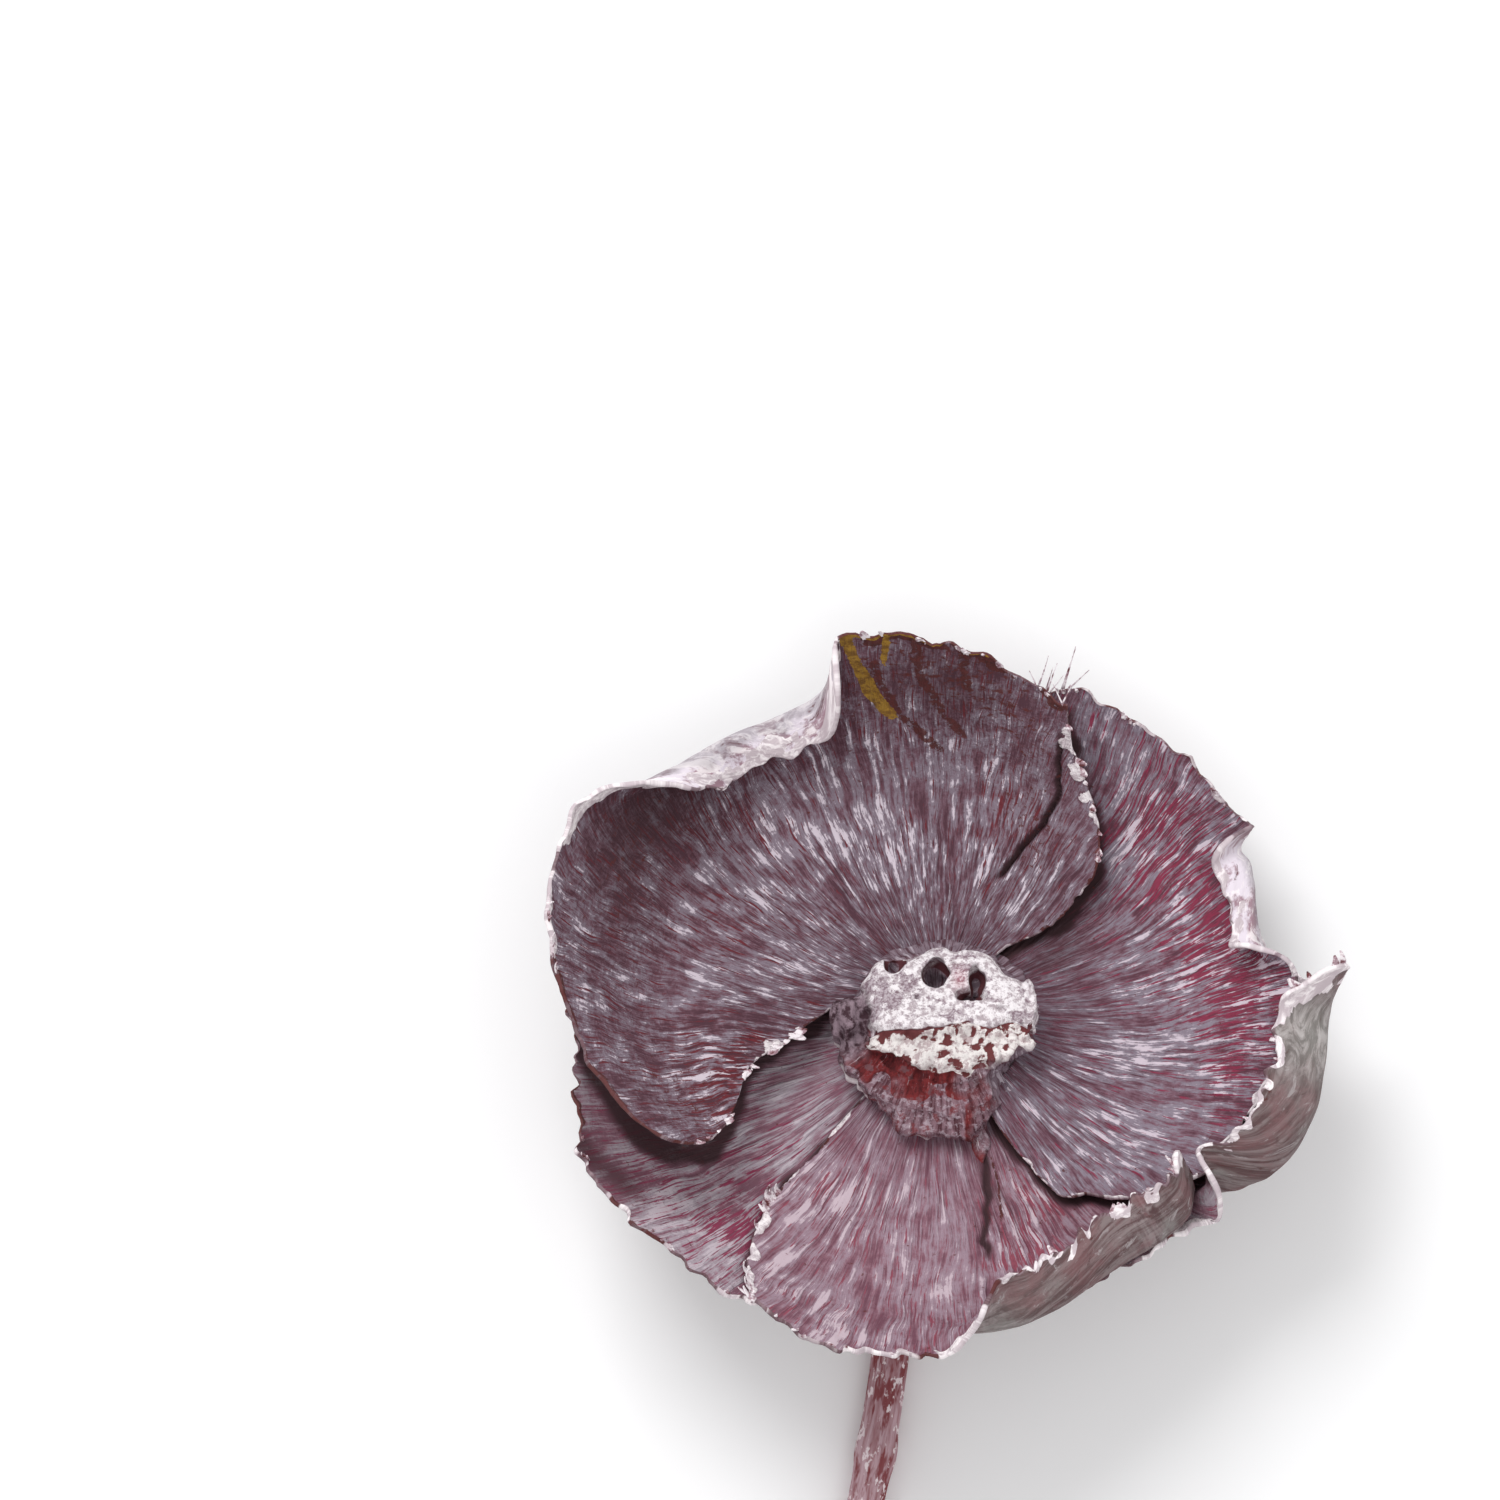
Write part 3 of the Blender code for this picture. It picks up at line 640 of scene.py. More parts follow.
def make_scale(scale, materials):
    """A closed shell over the scale's solid: thin torn edges, woody relief on both faces."""
    shell = Shell(scale)
    s, edge = shell.s, shell.edge

    # Woody relief: broad folds, ribs that follow the grain, and fine fibres
    folds = 0.22 * shell.noise(7, 26, 2) * smooth(s / 20)
    ribs = 0.09 * shell.noise(1.1, 17, 3, True) + 0.07 * shell.noise(0.62, 8, 4, True)
    strand = 0.75 * shell.noise(0.62, 6.5, 30, True) + 0.55 * shell.noise(0.36, 3.4, 31, True)
    strand = strand * (0.7 + 0.5 * shell.noise(5, 9, 32))
    crumple = 0.16 * shell.noise(2.4, 3.2, 5) * smooth((s - 0.55 * shell.length[:, None]) / 14)
    relief = folds + ribs + 0.5 * crumple + 0.10 * smooth(0.5 + strand)
    # Painted shade: the listed dark spots and the painted shadow under the scales above
    dark = shell.spots(scale.dark) + overlap_shade(shell)
    relief, dark = cut_grooves(shell, relief, dark)
    crust, rust, ochre = edge_paint(shell)
    rolled = rolled_bands(shell)

    # The wall thins towards its free edges
    wall = SCALE_THICKNESS * (0.4 + 0.6 * smooth(edge / 6))
    inner = shell.back + shell.up * (0.5 * (SCALE_THICKNESS + wall) + relief + 0.16 * crust)[..., None]
    back_ribs = 0.07 * shell.noise(1.3, 14, 11, True) + 0.07 * shell.noise(0.6, 7, 12, True)
    back_relief = 0.5 * folds + back_ribs * (1 - 0.85 * rolled) + 0.6 * crumple
    back_relief = back_relief + 0.16 * rolled * shell.noise(6.0, 1.1, 17)
    off = 0.5 * (SCALE_THICKNESS - wall) + 0.1 + back_relief - 0.12 * crust
    outer = shell.back + shell.up * off[..., None]

    marks = {"grain": shell.wander, "along": s, "edge": edge, "far": smooth((s - 14) / 22),
             "pale": np.clip(shell.spots(scale.pale), 0, 1), "red": np.clip(shell.spots(scale.red), 0, 1),
             "dark": np.clip(dark, 0, 1), "crust": crust, "lip": white_lips(shell), "rolled": rolled,
             "rust": rust * (1 - crust), "ochre": ochre, "strand": strand + 1.3}
    thing = shell_mesh(shell, inner, outer, marks, materials)
    shell.face = inner
    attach(thing, "root")
    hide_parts(scale.name)
    return shell


# Materials

def srgb(r, g, b):
    """A colour by its 0 to 255 display values."""
    values = np.array([r, g, b]) / 255
    linear = np.where(values <= 0.04045, values / 12.92, ((values + 0.055) / 1.055) ** 2.4)
    return (*[float(x) for x in linear], 1.0)


class Nodes:
    """Short names for the nodes of one material.

    An input is a number, another node's output, the name of a mark, or a colour's three display values.
    """

    def __init__(self, name, roughness):
        self.material = bpy.data.materials.new(name)
        self.material.use_nodes = True
        self.tree = self.material.node_tree
        self.shader = self.tree.nodes["Principled BSDF"]
        self.shader.inputs["Roughness"].default_value = roughness
        self.shader.inputs["Specular IOR Level"].default_value = 0.25
        self.marks = {}

    def mark(self, name):
        if name not in self.marks:
            made = self.tree.nodes.new("ShaderNodeAttribute")
            made.attribute_name = name
            self.marks[name] = made.outputs["Fac"]
        return self.marks[name]

    def put(self, socket, value):
        if isinstance(value, str):
            value = self.mark(value)
        if isinstance(value, bpy.types.NodeSocket):
            self.tree.links.new(value, socket)
        else:
            socket.default_value = srgb(*value) if isinstance(value, tuple) else value

    def fed(self, kind, values, **settings):
        """The output of a new node, with its inputs fed in order."""
        made = self.tree.nodes.new(kind)
        for key, value in settings.items():
            setattr(made, key, value)
        for socket, value in zip(made.inputs, values):
            self.put(socket, value)
        return made.outputs[0]

    def maths(self, operation, a, b=0.0, c=0.0):
        return self.fed("ShaderNodeMath", (a, b, c), operation=operation)

    def total(self, *terms, start=0.0):
        """The sum of (value, share) terms."""
        for value, share in terms:
            start = self.maths("MULTIPLY_ADD", value, share, start)
        return start

    def vector(self, x, y, z):
        return self.fed("ShaderNodeCombineXYZ", (x, y, z))

    def plane(self, across, down, seed, mark_across="grain", mark_down="along"):
        """A place on a plane of two marks, each times a number."""
        return self.vector(self.maths("MULTIPLY", mark_across, across),
                           self.maths("MULTIPLY", mark_down, down), seed)

    def noise(self, vector, detail, roughness, scale=1.0, distortion=0.0):
        made = self.tree.nodes.new("ShaderNodeTexNoise")
        self.put(made.inputs["Vector"], vector)
        for key, value in (("Scale", scale), ("Detail", detail), ("Roughness", roughness),
                           ("Distortion", distortion)):
            made.inputs[key].default_value = value
        return made.outputs["Fac"]

    def step(self, value, low, high, to_high=1.0, to_low=0.0):
        return self.fed("ShaderNodeMapRange", (value, low, high, to_low, to_high),
                        interpolation_type="SMOOTHSTEP")

    def mix(self, factor, a, b, kind="RGBA"):
        made = self.tree.nodes.new("ShaderNodeMix")
        made.data_type = kind
        first, result = (6, 2) if kind == "RGBA" else (2, 0)
        for place, value in ((0, factor), (first, a), (first + 1, b)):
            self.put(made.inputs[place], value)
        return made.outputs[result]

    def paint(self, base, colour, value, low, high, most=1.0):
        """A base with a colour over it, where the value has passed from low to high."""
        return self.mix(self.step(value, low, high, most), base, colour)

    def coats(self, base, *coats):
        """A base under coats, each a colour, a value, low, high and how much at most."""
        for coat in coats:
            base = self.paint(base, *coat)
        return base

    def streaks(self, wide, long, seed, detail, roughness):
        """Noise drawn out along the grain, with finer strands further from the root."""
        near = self.noise(self.plane(1 / wide, 1 / long, seed), detail, roughness)
        far = self.noise(self.plane(1.7 / wide, 1 / long, seed + 40.5), detail, roughness)
        return self.mix("far", near, far, "FLOAT")

    def blotches(self, size, seed, detail, roughness, long=1.4, swirl=0.0):
        return self.noise(self.plane(1 / size, 1 / (size * long), seed), detail, roughness, 1.0, swirl)

    def finish(self, colour, roughness=None, height=None, relief=0.1):
        """The material, with its colour and its fine bumps, relief mm high."""
        self.put(self.shader.inputs["Base Color"], colour)
        if roughness is not None:
            self.put(self.shader.inputs["Roughness"], roughness)
        if height is not None:
            made = self.tree.nodes.new("ShaderNodeBump")
            made.inputs["Strength"].default_value = 1.0
            made.inputs["Distance"].default_value = relief * MM
            self.put(made.inputs["Height"], height)
            self.put(self.shader.inputs["Normal"], made.outputs["Normal"])
        return self.material


# Each look: deep tone, middle tone, grey wash, red stain, pale dab, length of its strands, how crumbly
# it is far from the hub, and how much of the pale dab shows
LOOKS = {
    "plum": ((78, 49, 59), (113, 82, 94), (133, 119, 131), (108, 38, 46), (206, 194, 204),
             1.0, 0.9, 0.92),
    "mauve": ((88, 54, 66), (122, 92, 105), (137, 125, 138), (136, 46, 72), (206, 192, 203),
              1.2, 0.3, 0.9),
    "rosy": ((106, 67, 81), (138, 101, 114), (154, 130, 143), (142, 70, 86), (202, 184, 193),
             2.0, 0.2, 0.75),
    "sepal": ((122, 84, 98), (154, 122, 135), (170, 156, 166), (142, 52, 82), (200, 188, 196),
              1.8, 0.7, 0.6),
}
CRUST = (246, 238, 240)
CRUST_SHADE = (198, 184, 190)
RUST = (90, 42, 40)
OCHRE = (160, 122, 46)


def inner_material(name, look, seed):
    """Strands of plum and mauve under a grey wash, with red stains, pale dabs, white crusts and painted
    shade.
    """
    deep, middle, wash, red, dab, long, crumbly, dabbed = LOOKS[look]
    n = Nodes(name, 0.8)
    fibre = n.streaks(0.44, 4.2 * long, seed, 3.0, 0.6)
    fine = n.streaks(0.24, 1.9 * long, seed + 5.1, 2.0, 0.6)
    strand = n.streaks(0.36, 5.0, seed + 7.7, 3.0, 0.6)
    cloud = n.blotches(2.6, seed + 3.3, 5.0, 0.68, 1.5)
    grit = n.blotches(1.0, seed + 27.0, 4.0, 0.7, 1.0)
    coarse = n.noise(n.plane(1.1, 0.13 / long, seed + 51.0), 3.0, 0.6)
    crumb = n.blotches(0.8, seed + 53.0, 4.0, 0.7, 1.1, 1.6)
    crumbled = n.maths("MULTIPLY", "far", crumbly)
    body = n.total((crumbled, n.maths("SUBTRACT", crumb, coarse)), start=coarse)

    tone = n.total((fine, 0.26), (fibre, 0.28), (body, 0.28), ("strand", 0.10), (cloud, 0.36),
                   ("pale", 0.065), ("dark", -0.12))
    flushed = n.mix(n.maths("MULTIPLY", "red", 0.5), middle, red)
    colour = n.paint(deep, flushed, tone, 0.60, 0.72)
    reds = n.step(n.total(("red", 0.14), ("far", 0.02), start=strand), 0.60, 0.66, 0.95)
    tone = n.total(("red", 0.055), start=tone)
    washed = n.maths("MULTIPLY", n.step(tone, 0.69, 0.77), n.total((reds, -0.8), start=1.0))
    colour = n.mix(washed, colour, wash)
    colour = n.mix(reds, colour, n.paint(deep, red, fine, 0.30, 0.55))
    colour = n.paint(colour, dab, n.total((reds, -0.06), start=tone), 0.79, 0.83, dabbed)
    # Painted shade: the face darkens towards deep brown, and its tone drops, where the dark mark is: under
    # overlapping scales, in cracks and in the listed spots
    colour = n.mix(n.maths("MULTIPLY", "dark", 0.88), colour, (54, 36, 38))
    rusty = n.paint((70, 34, 30), RUST, grit, 0.40, 0.60)
    golden = n.paint((118, 84, 34), OCHRE, grit, 0.40, 0.60)
    colour = n.coats(colour, (rusty, n.total(("rust", 0.32), start=grit), 0.62, 0.72, 0.92),
                     (golden, n.total(("ochre", 0.55), start=grit), 0.78, 0.88, 0.95),
                     (n.paint(CRUST_SHADE, CRUST, grit, 0.40, 0.60), "crust", 0.35, 0.6))
    height = n.total((grit, 0.3), (n.step(tone, 0.60, 0.86), 0.7))
    return n.finish(colour, n.step(tone, 0.6, 0.8, 0.74, 0.86), height, 0.3)


def back_material(name, seed):
    """Dusty grey and rose under dark grime, white and pink where the rim has rolled or torn."""
    n = Nodes(name, 0.85)
    rib = n.streaks(0.9, 7.0, seed + 31.0, 4.0, 0.65)
    cloud = n.blotches(4.5, seed + 35.0, 4.0, 0.65)
    grime = n.blotches(2.8, seed + 37.0, 6.0, 0.7, 0.8, 1.2)
    stain = n.blotches(2.4, seed + 41.0, 4.0, 0.65)
    fleck = n.blotches(1.2, seed + 43.0, 4.0, 0.6, 1.0, 1.0)
    lengthwise = n.noise(n.plane(0.15, 1.0, seed + 45.0), 6.0, 0.7, 1.0, 0.6)
    rib = n.total(("rolled", n.maths("SUBTRACT", lengthwise, rib)), start=rib)

    colour = n.coats((88, 66, 69), ((158, 146, 147), rib, 0.40, 0.60),
                     ((146, 98, 104), cloud, 0.47, 0.64, 0.6), ((158, 160, 157), cloud, 0.46, 0.34, 0.6),
                     ((76, 58, 61), grime, 0.55, 0.66, 0.75), ((204, 198, 200), grime, 0.44, 0.35, 0.75))
    colour = n.mix(n.maths("MULTIPLY", "rolled", 0.52), colour, (92, 70, 70))
    ash = n.paint((196, 192, 190), (138, 138, 134), grime, 0.42, 0.56)
    colour = n.mix(n.maths("MULTIPLY", "pale", n.maths("MULTIPLY", "rolled", 0.7)), colour, ash)
    folded = n.paint((190, 184, 188), (132, 124, 130), grime, 0.4, 0.6)
    white = n.coats((226, 216, 226), ((150, 114, 126), stain, 0.46, 0.58, 0.9),
                    (CRUST, grime, 0.5, 0.4, 0.8),
                    (folded, n.total((stain, 3.0), start="edge"), 4.6, 6.4, 0.7))
    colour = n.mix("lip", colour, white)
    torn = n.paint((92, 62, 70), (150, 128, 136), grime, 0.42, 0.58)
    colour = n.coats(colour, (torn, "edge", 0.5, 0.1, 0.85),
                     (RUST, n.total(("rust", 0.32), start=grime), 0.62, 0.72, 0.9),
                     (n.paint(CRUST_SHADE, CRUST, fleck, 0.42, 0.62), "crust", 0.35, 0.6))
    return n.finish(colour, None, n.total((rib, 0.6), (grime, 0.6)), 0.35)


SHELLS = {}
for scale in SCALES:
    pair = (inner_material(scale.name + "_face", scale.look, scale.seed * 11.0),
            back_material(scale.name + "_back", scale.seed * 11.0))
    SHELLS[scale.name] = make_scale(scale, pair)


# Hub

HUB_TOP = 12.0
HUB_WALL = 11.4
HUB_TURNS = 120
HUB_RINGS = 90
HUB_VOXEL = 0.27
ROOT_LEAN = 0.25
HUB_PROFILE = ((0, 12.0), (3.6, 12.0), (7.0, 11.9), (9.2, 11.4), (10.1, 10.4), (10.4, 9.3), (11.3, 7.9),
               (13.6, 6.5), (15.9, 5.2), (15.8, 3.9), (12.2, 3.4), (11.8, 1.5), (11.2, -0.6), (9.6, -2.4),
               (6.0, -3.8), (0, -4.4))

# Each pit: its x and y, half its width and length, and its depth
HUB_PITS = ((-5.5, 4.6, 1.3, 1.9, 3.2), (-0.5, 2.7, 1.5, 2.0, 5.0), (3.5, -0.5, 1.7, 1.1, 4.2),
            (4.5, 1.7, 0.9, 1.9, 4.2), (-2.8, -0.7, 0.45, 0.4, 1.5), (7.4, -2.4, 0.45, 0.4, 1.4),
            (-7.0, 1.6, 1.1, 0.7, 0.9), (0.6, -2.8, 1.2, 0.5, 0.7))

# Each lump: its middle, its half sizes, and how rough it is
HUB_LUMPS = (((-10.8, -1.8, 7.6), (2.9, 3.2, 2.6), 0.4), ((-10.2, -5.0, 5.6), (2.4, 2.4, 2.2), 0.4),
             ((8.6, -5.8, 9.0), (2.4, 1.9, 1.6), 0.4), ((-7.0, -5.8, 9.4), (2.2, 1.6, 1.2), 0.4),
             ((3.0, -7.6, 9.1), (3.4, 1.4, 1.3), 0.5), ((-2.6, -7.3, 9.0), (3.0, 1.3, 1.2), 0.5),
             ((6.4, -7.4, 8.3), (1.8, 1.3, 1.6), 0.5), ((-8.6, -7.2, 6.4), (2.2, 1.8, 1.6), 0.5),
             ((-2.3, -12.6, 4.6), (2.6, 1.9, 1.3), 0.6), ((3.6, -11.8, 5.0), (2.2, 2.2, 1.6), 0.6))
LEFT_RIM = ((-11.6, -2.6, 5.4), (-12.0, -5.4, 4.8), (-10.4, -8.4, 4.4), (-7.8, -10.2, 4.2))
TONGUE = ((4.2, -9.6, 7.4), (4.3, -12.8, 4.8), (4.7, -15.6, 2.6), (4.2, -18.4, 1.7))
HUB_STRANDS = 90

# White dabs on the skirt: middle and size
HUB_DABS = (((-12.0, -3.6, 5.2), 1.0), ((-11.6, -7.0, 4.8), 1.1), ((-9.0, -9.6, 4.4), 1.0),
            ((-10.2, -9.1, 4.2), 1.4), ((-2.3, -14.6, 3.6), 1.5), ((-3.9, -10.6, 5.6), 1.0),
            ((1.8, -14.4, 3.8), 0.9))

# Stains on its top, as soft round marks
HUB_STAINS = ((-6.6, 0.8, 2.4, 2.4, 1.5), (8.8, -3.4, 1.4, 1.6, 0.8), (1.2, 4.8, 1.6, 1.0, 0.4),
              (-3.4, -3.6, 2.2, 0.9, 0.6))


def hub_material():
    """Chalk crust on top, a broken brick band, a fibrous grey and dark red skirt, petal strands behind."""
    n = Nodes("hub_chalk_crust", 0.9)
    place = n.vector("hub_x", "hub_y", "hub_w")
    crumb = n.noise(place, 5.0, 0.65, 0.55)
    fine = n.noise(place, 4.0, 0.7, 1.3)
    speck = n.noise(place, 3.0, 0.6, 2.6)
    strand = n.noise(n.plane(1.9, 0.45, 3.0, "round", "hub_w"), 5.0, 0.7)
    root_strand = n.noise(n.plane(1.3, 0.25, 8.0, "round", "hub_w"), 4.0, 0.65)

    dusty = n.paint((128, 106, 116), (184, 170, 178), speck, 0.4, 0.6)
    chalk = n.coats((178, 164, 170), ((242, 236, 239), fine, 0.40, 0.56),
                    (dusty, n.total(("stain", 0.14), start=crumb), 0.54, 0.62, 0.9),
                    ((122, 98, 104), speck, 0.66, 0.71, 0.8))
    blushed = n.paint((150, 84, 98), (214, 186, 194), speck, 0.42, 0.58)
    chalk = n.mix(n.maths("MULTIPLY", "blush", 0.8), chalk, blushed)
    # Painted shade and brown fibre: the chalk turns dark brown in its pits, its crevice and the gaps
    # between crumbs
    chalk = n.paint(chalk, (88, 46, 52), "hollow_shade_and_fibre", 0.35, 0.75)
    tier = n.paint((196, 178, 180), (244, 238, 236), fine, 0.40, 0.54)
    # The tier turns brown in its gaps, as painted shade and as the fibre between its crumbs
    tier = n.paint((112, 58, 60), tier, n.total(("hollow_shade_and_fibre", -0.24), start=crumb), 0.32, 0.40)

    brick = n.coats((82, 30, 34), ((130, 46, 48), n.total((strand, 0.4), (crumb, 0.6)), 0.40, 0.58),
                    ((116, 84, 90), crumb, 0.54, 0.62, 0.8), ((196, 176, 182), strand, 0.60, 0.66, 0.85))
    skirt = n.coats((82, 46, 54), ((140, 110, 120), strand, 0.38, 0.56),
                    ((178, 160, 170), fine, 0.50, 0.60, 0.75), ((118, 44, 48), crumb, 0.54, 0.62, 0.75),
                    ((222, 208, 214), strand, 0.62, 0.67, 0.85))
    side = n.mix(n.maths("MULTIPLY", n.step("brick", 0.4, 0.6), "red_side"), skirt, brick)
    side = n.paint(side, tier, "tier", 0.4, 0.6)
    side = n.mix("rooty", side, n.coats((94, 64, 74), ((142, 124, 135), root_strand, 0.40, 0.52),
                                        ((202, 190, 200), root_strand, 0.56, 0.62, 0.9)))

    colour = n.paint(side, chalk, "chalk", 0.4, 0.6)
    gnarl = n.total((fine, 0.9), ("rings", 0.22))
    colour = n.mix("gloom", colour, n.paint((66, 44, 52), (144, 124, 134), gnarl, 0.42, 0.68))
    colour = n.mix("paint", colour, (238, 230, 232))
    woody = n.maths("MULTIPLY", strand, n.maths("SUBTRACT", 1.0, "chalk"))
    return n.finish(colour, None, n.total((fine, 1.0), (crumb, 1.0), start=woody), 0.4)


def turned(profile, turns, steps):
    """Points and faces of a closed turned body; the profile runs down its outer side from pole to pole."""
    profile = np.array(profile, float)
    gone = np.concatenate([[0], np.cumsum(np.hypot(*np.diff(profile, axis=0).T))])
    at = np.linspace(0, gone[-1], steps + 1)
    r, w = np.interp(at, gone, profile[:, 0]), np.interp(at, gone, profile[:, 1])
    angle = 2 * np.pi * np.arange(turns) / turns
    ring = np.stack([r[1:-1, None] * np.cos(angle), r[1:-1, None] * np.sin(angle),
                     np.repeat(w[1:-1, None], turns, axis=1)], axis=-1)
    points = np.concatenate([ring.reshape(-1, 3), [[0, 0, w[0]], [0, 0, w[-1]]]])
    k, k_next = after(turns)
    last = (len(ring) - 1) * turns
    quads = [np.stack([a + k, a + turns + k, a + turns + k_next, a + k_next], axis=-1)
             for a in range(0, last, turns)]
    top, low = np.full(turns, len(points) - 2), np.full(turns, len(points) - 1)
    tris = np.concatenate([np.stack([top, k, k_next], axis=-1),
                           np.stack([last + k_next, last + k, low], axis=-1)])
    return points, np.concatenate(quads), tris


def step_wave(x):
    """How the step across the hub's top wanders, in mm."""
    return 0.9 * noise2(x / 3.0, 0.5, 43)


def shape_hub(points):
    """Press the turned hub to its real form: an oval top, a low front step and a torn front skirt."""
    x, y, w = points.T.copy()
    phi, radius = np.arctan2(y, x), np.hypot(x, y)
    skirt = bump((phi + math.pi / 2) / 0.45)
    low = (w > -1.5) & (w < 7)
    wall = ROOT_RADIUS - ROOT_SHIFT * np.sin(phi) - 0.6 + ROOT_LEAN * np.maximum(w, -1)
    torn = 1 + 0.16 * np.sin(9 * phi + 0.4) + 0.1 * np.sin(13 * phi)
    overhang = np.maximum(radius - HUB_WALL - ROOT_LEAN * np.maximum(w, -1), 0)
    radius = np.where(low, wall + overhang * skirt * torn, radius)

    # The shoulder is pulled in behind and at the right, over the roots of the scales
    back, right = smooth((np.sin(phi) + 0.15) / 0.3), smooth((np.cos(phi) - 0.42) / 0.25)
    neck = 10.3 - 0.4 * np.sin(phi) * back
    from_w = 4.9 - 0.8 * right * (1 - back)
    pull = 0.95 * np.maximum(back, right) * np.maximum(radius - neck, 0) * smooth((w - from_w) / 0.9)
    radius = radius - np.where(w < 9.6, pull, 0)

    x, y = radius * np.cos(phi), radius * np.sin(phi)
    high = smooth((w - 6.5) / 3.5)
    wavy = 0.07 * noise2(phi * 2.4, 0.5, 41) + 0.04 * noise2(phi * 6.1, 3.5, 42)
    uneven = 1 + high * (wavy - 0.10 * bump((phi - 0.72) / 0.22) + 0.15 * bump((phi - 2.45) / 0.35))
    x, y = x * uneven + 1.2 * high, y * uneven * (1 - 0.16 * high) - 1.6 * high
    step = 1.5 * smooth((-4.8 - y + step_wave(x)) / 1.0)
    return np.stack([x, y, w - np.where(w > 9, step, 0)], axis=-1)


def blob(centre, radii, seed, rough=0.2):
    """A lumpy closed ball."""
    bm = bmesh.new()
    bmesh.ops.create_icosphere(bm, subdivisions=3, radius=1)
    points = np.array([v.co for v in bm.verts])
    tris = np.array([[v.index for v in f.verts] for f in bm.faces])
    bm.free()
    points = points * (1 + rough * noise3(points * 1.7 + seed * 3.1, seed))[:, None]
    return points * np.array(radii) + np.array(centre), np.zeros((0, 4), int), tris


def take_mesh(thing, *helpers):
    """The mesh of a thing with its modifiers; the thing and its helpers are removed."""
    bpy.context.view_layer.update()
    graph = bpy.context.evaluated_depsgraph_get()
    mesh = bpy.data.meshes.new_from_object(thing.evaluated_get(graph))
    for gone in (thing, *helpers):
        bpy.data.objects.remove(gone)
    return mesh


def pitted_hub():
    """The hub's turned body with its pits cut out."""
    points, quads, tris = turned(HUB_PROFILE, HUB_TURNS, HUB_RINGS)
    body = mesh_from("hub_body", shape_hub(points), [quads, tris])
    cutters = []
    for number, (x, y, wide, long, depth) in enumerate(HUB_PITS):
        points, _, tris = blob((x, y, HUB_TOP), (wide, long, depth), 50 + number, 0.35)
        cutter = mesh_from(f"pit_{number}", points, [tris])
        cutters.append(cutter)
        step = body.modifiers.new(cutter.name, "BOOLEAN")
        step.operation = "DIFFERENCE"
        step.object = cutter
        step.solver = "EXACT"
    return take_mesh(body, *cutters)


def hub_growths():
    """Lumps, a shell, the left rim, the tongue and the skirt's strands, which grow out of the hub."""
    parts = [blob(centre, radii, seed, rough)
             for seed, (centre, radii, rough) in enumerate(HUB_LUMPS, start=61)]
    shell = [(10.6 * math.cos(a) + 1.0, 10.2 * math.sin(a) * 0.84 - 1.6, 10.4)
             for a in np.radians((-30, -16, 0, 14, 26))]
    parts.append(tube(arc(shell, 20), 0.35, np.sin(np.linspace(0.35, 2.8, 20)) * 2.0, 12))
    parts.append(tube(arc(LEFT_RIM, 20), 0.35, 0.6, 8))
    parts.append(tube(arc(TONGUE, 20), np.linspace(1.6, 1.0, 20), np.linspace(0.9, 0.3, 20), 10))
    draw = np.random.default_rng(91)
    for _ in range(HUB_STRANDS):
        a = math.radians(draw.uniform(214, 304))
        top, low = draw.uniform(6.2, 8.8), draw.uniform(3.0, 4.2)
        front = math.exp(-((a - math.radians(270)) / 0.42) ** 2)
        reach = draw.uniform(12.0, 12.9) + draw.uniform(0.3, 3.4) * front
        bend = a + draw.uniform(-0.09, 0.09)
        half = 0.5 * (10.6 + reach)
        strand = ((10.4 * math.cos(a), 10.4 * math.sin(a) * 0.92 - 0.8, top),
                  (half * math.cos(bend), half * math.sin(bend), 0.5 * (top + low) + draw.uniform(0, 0.8)),
                  (reach * math.cos(bend), reach * math.sin(bend), low + draw.uniform(0, 0.5)))
        wide = np.linspace(draw.uniform(0.3, 0.6), 0.26, 10)
        parts.append(tube(arc(strand, 10), wide, draw.uniform(0.3, 0.55), 6))
    points, *faces = joined(parts)
    return mesh_from("hub_growths", points, faces)


def hub_neck():
    """The sleeve that the stem enters."""
    path = from_world(stem_path() * MM)
    ahead = path[8] - path[0]
    ahead /= np.linalg.norm(ahead)
    size = np.linspace(4.2, 3.6, 12)
    points, *faces = tube(path[0] + ahead * np.linspace(2, 11.2, 12)[:, None], size, size, 32)
    return mesh_from("hub_neck", points, faces)


def whole_hub():
    """One closed skin round the pitted body, its growths and its neck."""
    pitted = pitted_hub()
    whole = bmesh.new()
    whole.from_mesh(pitted)
    for thing in (hub_growths(), hub_neck()):
        whole.from_mesh(thing.data)
        bpy.data.objects.remove(thing)
    mesh = bpy.data.meshes.new("hub")
    whole.to_mesh(mesh)
    whole.free()
    hub = add_object("hub_voxels", mesh)
    remesh = hub.modifiers.new("Voxels", "REMESH")
    remesh.mode = "VOXEL"
    remesh.voxel_size = HUB_VOXEL
    return take_mesh(hub)


def read_points(mesh, what):
    values = np.zeros(len(mesh.vertices) * 3)
    mesh.vertices.foreach_get(what, values)
    return values.reshape(-1, 3)


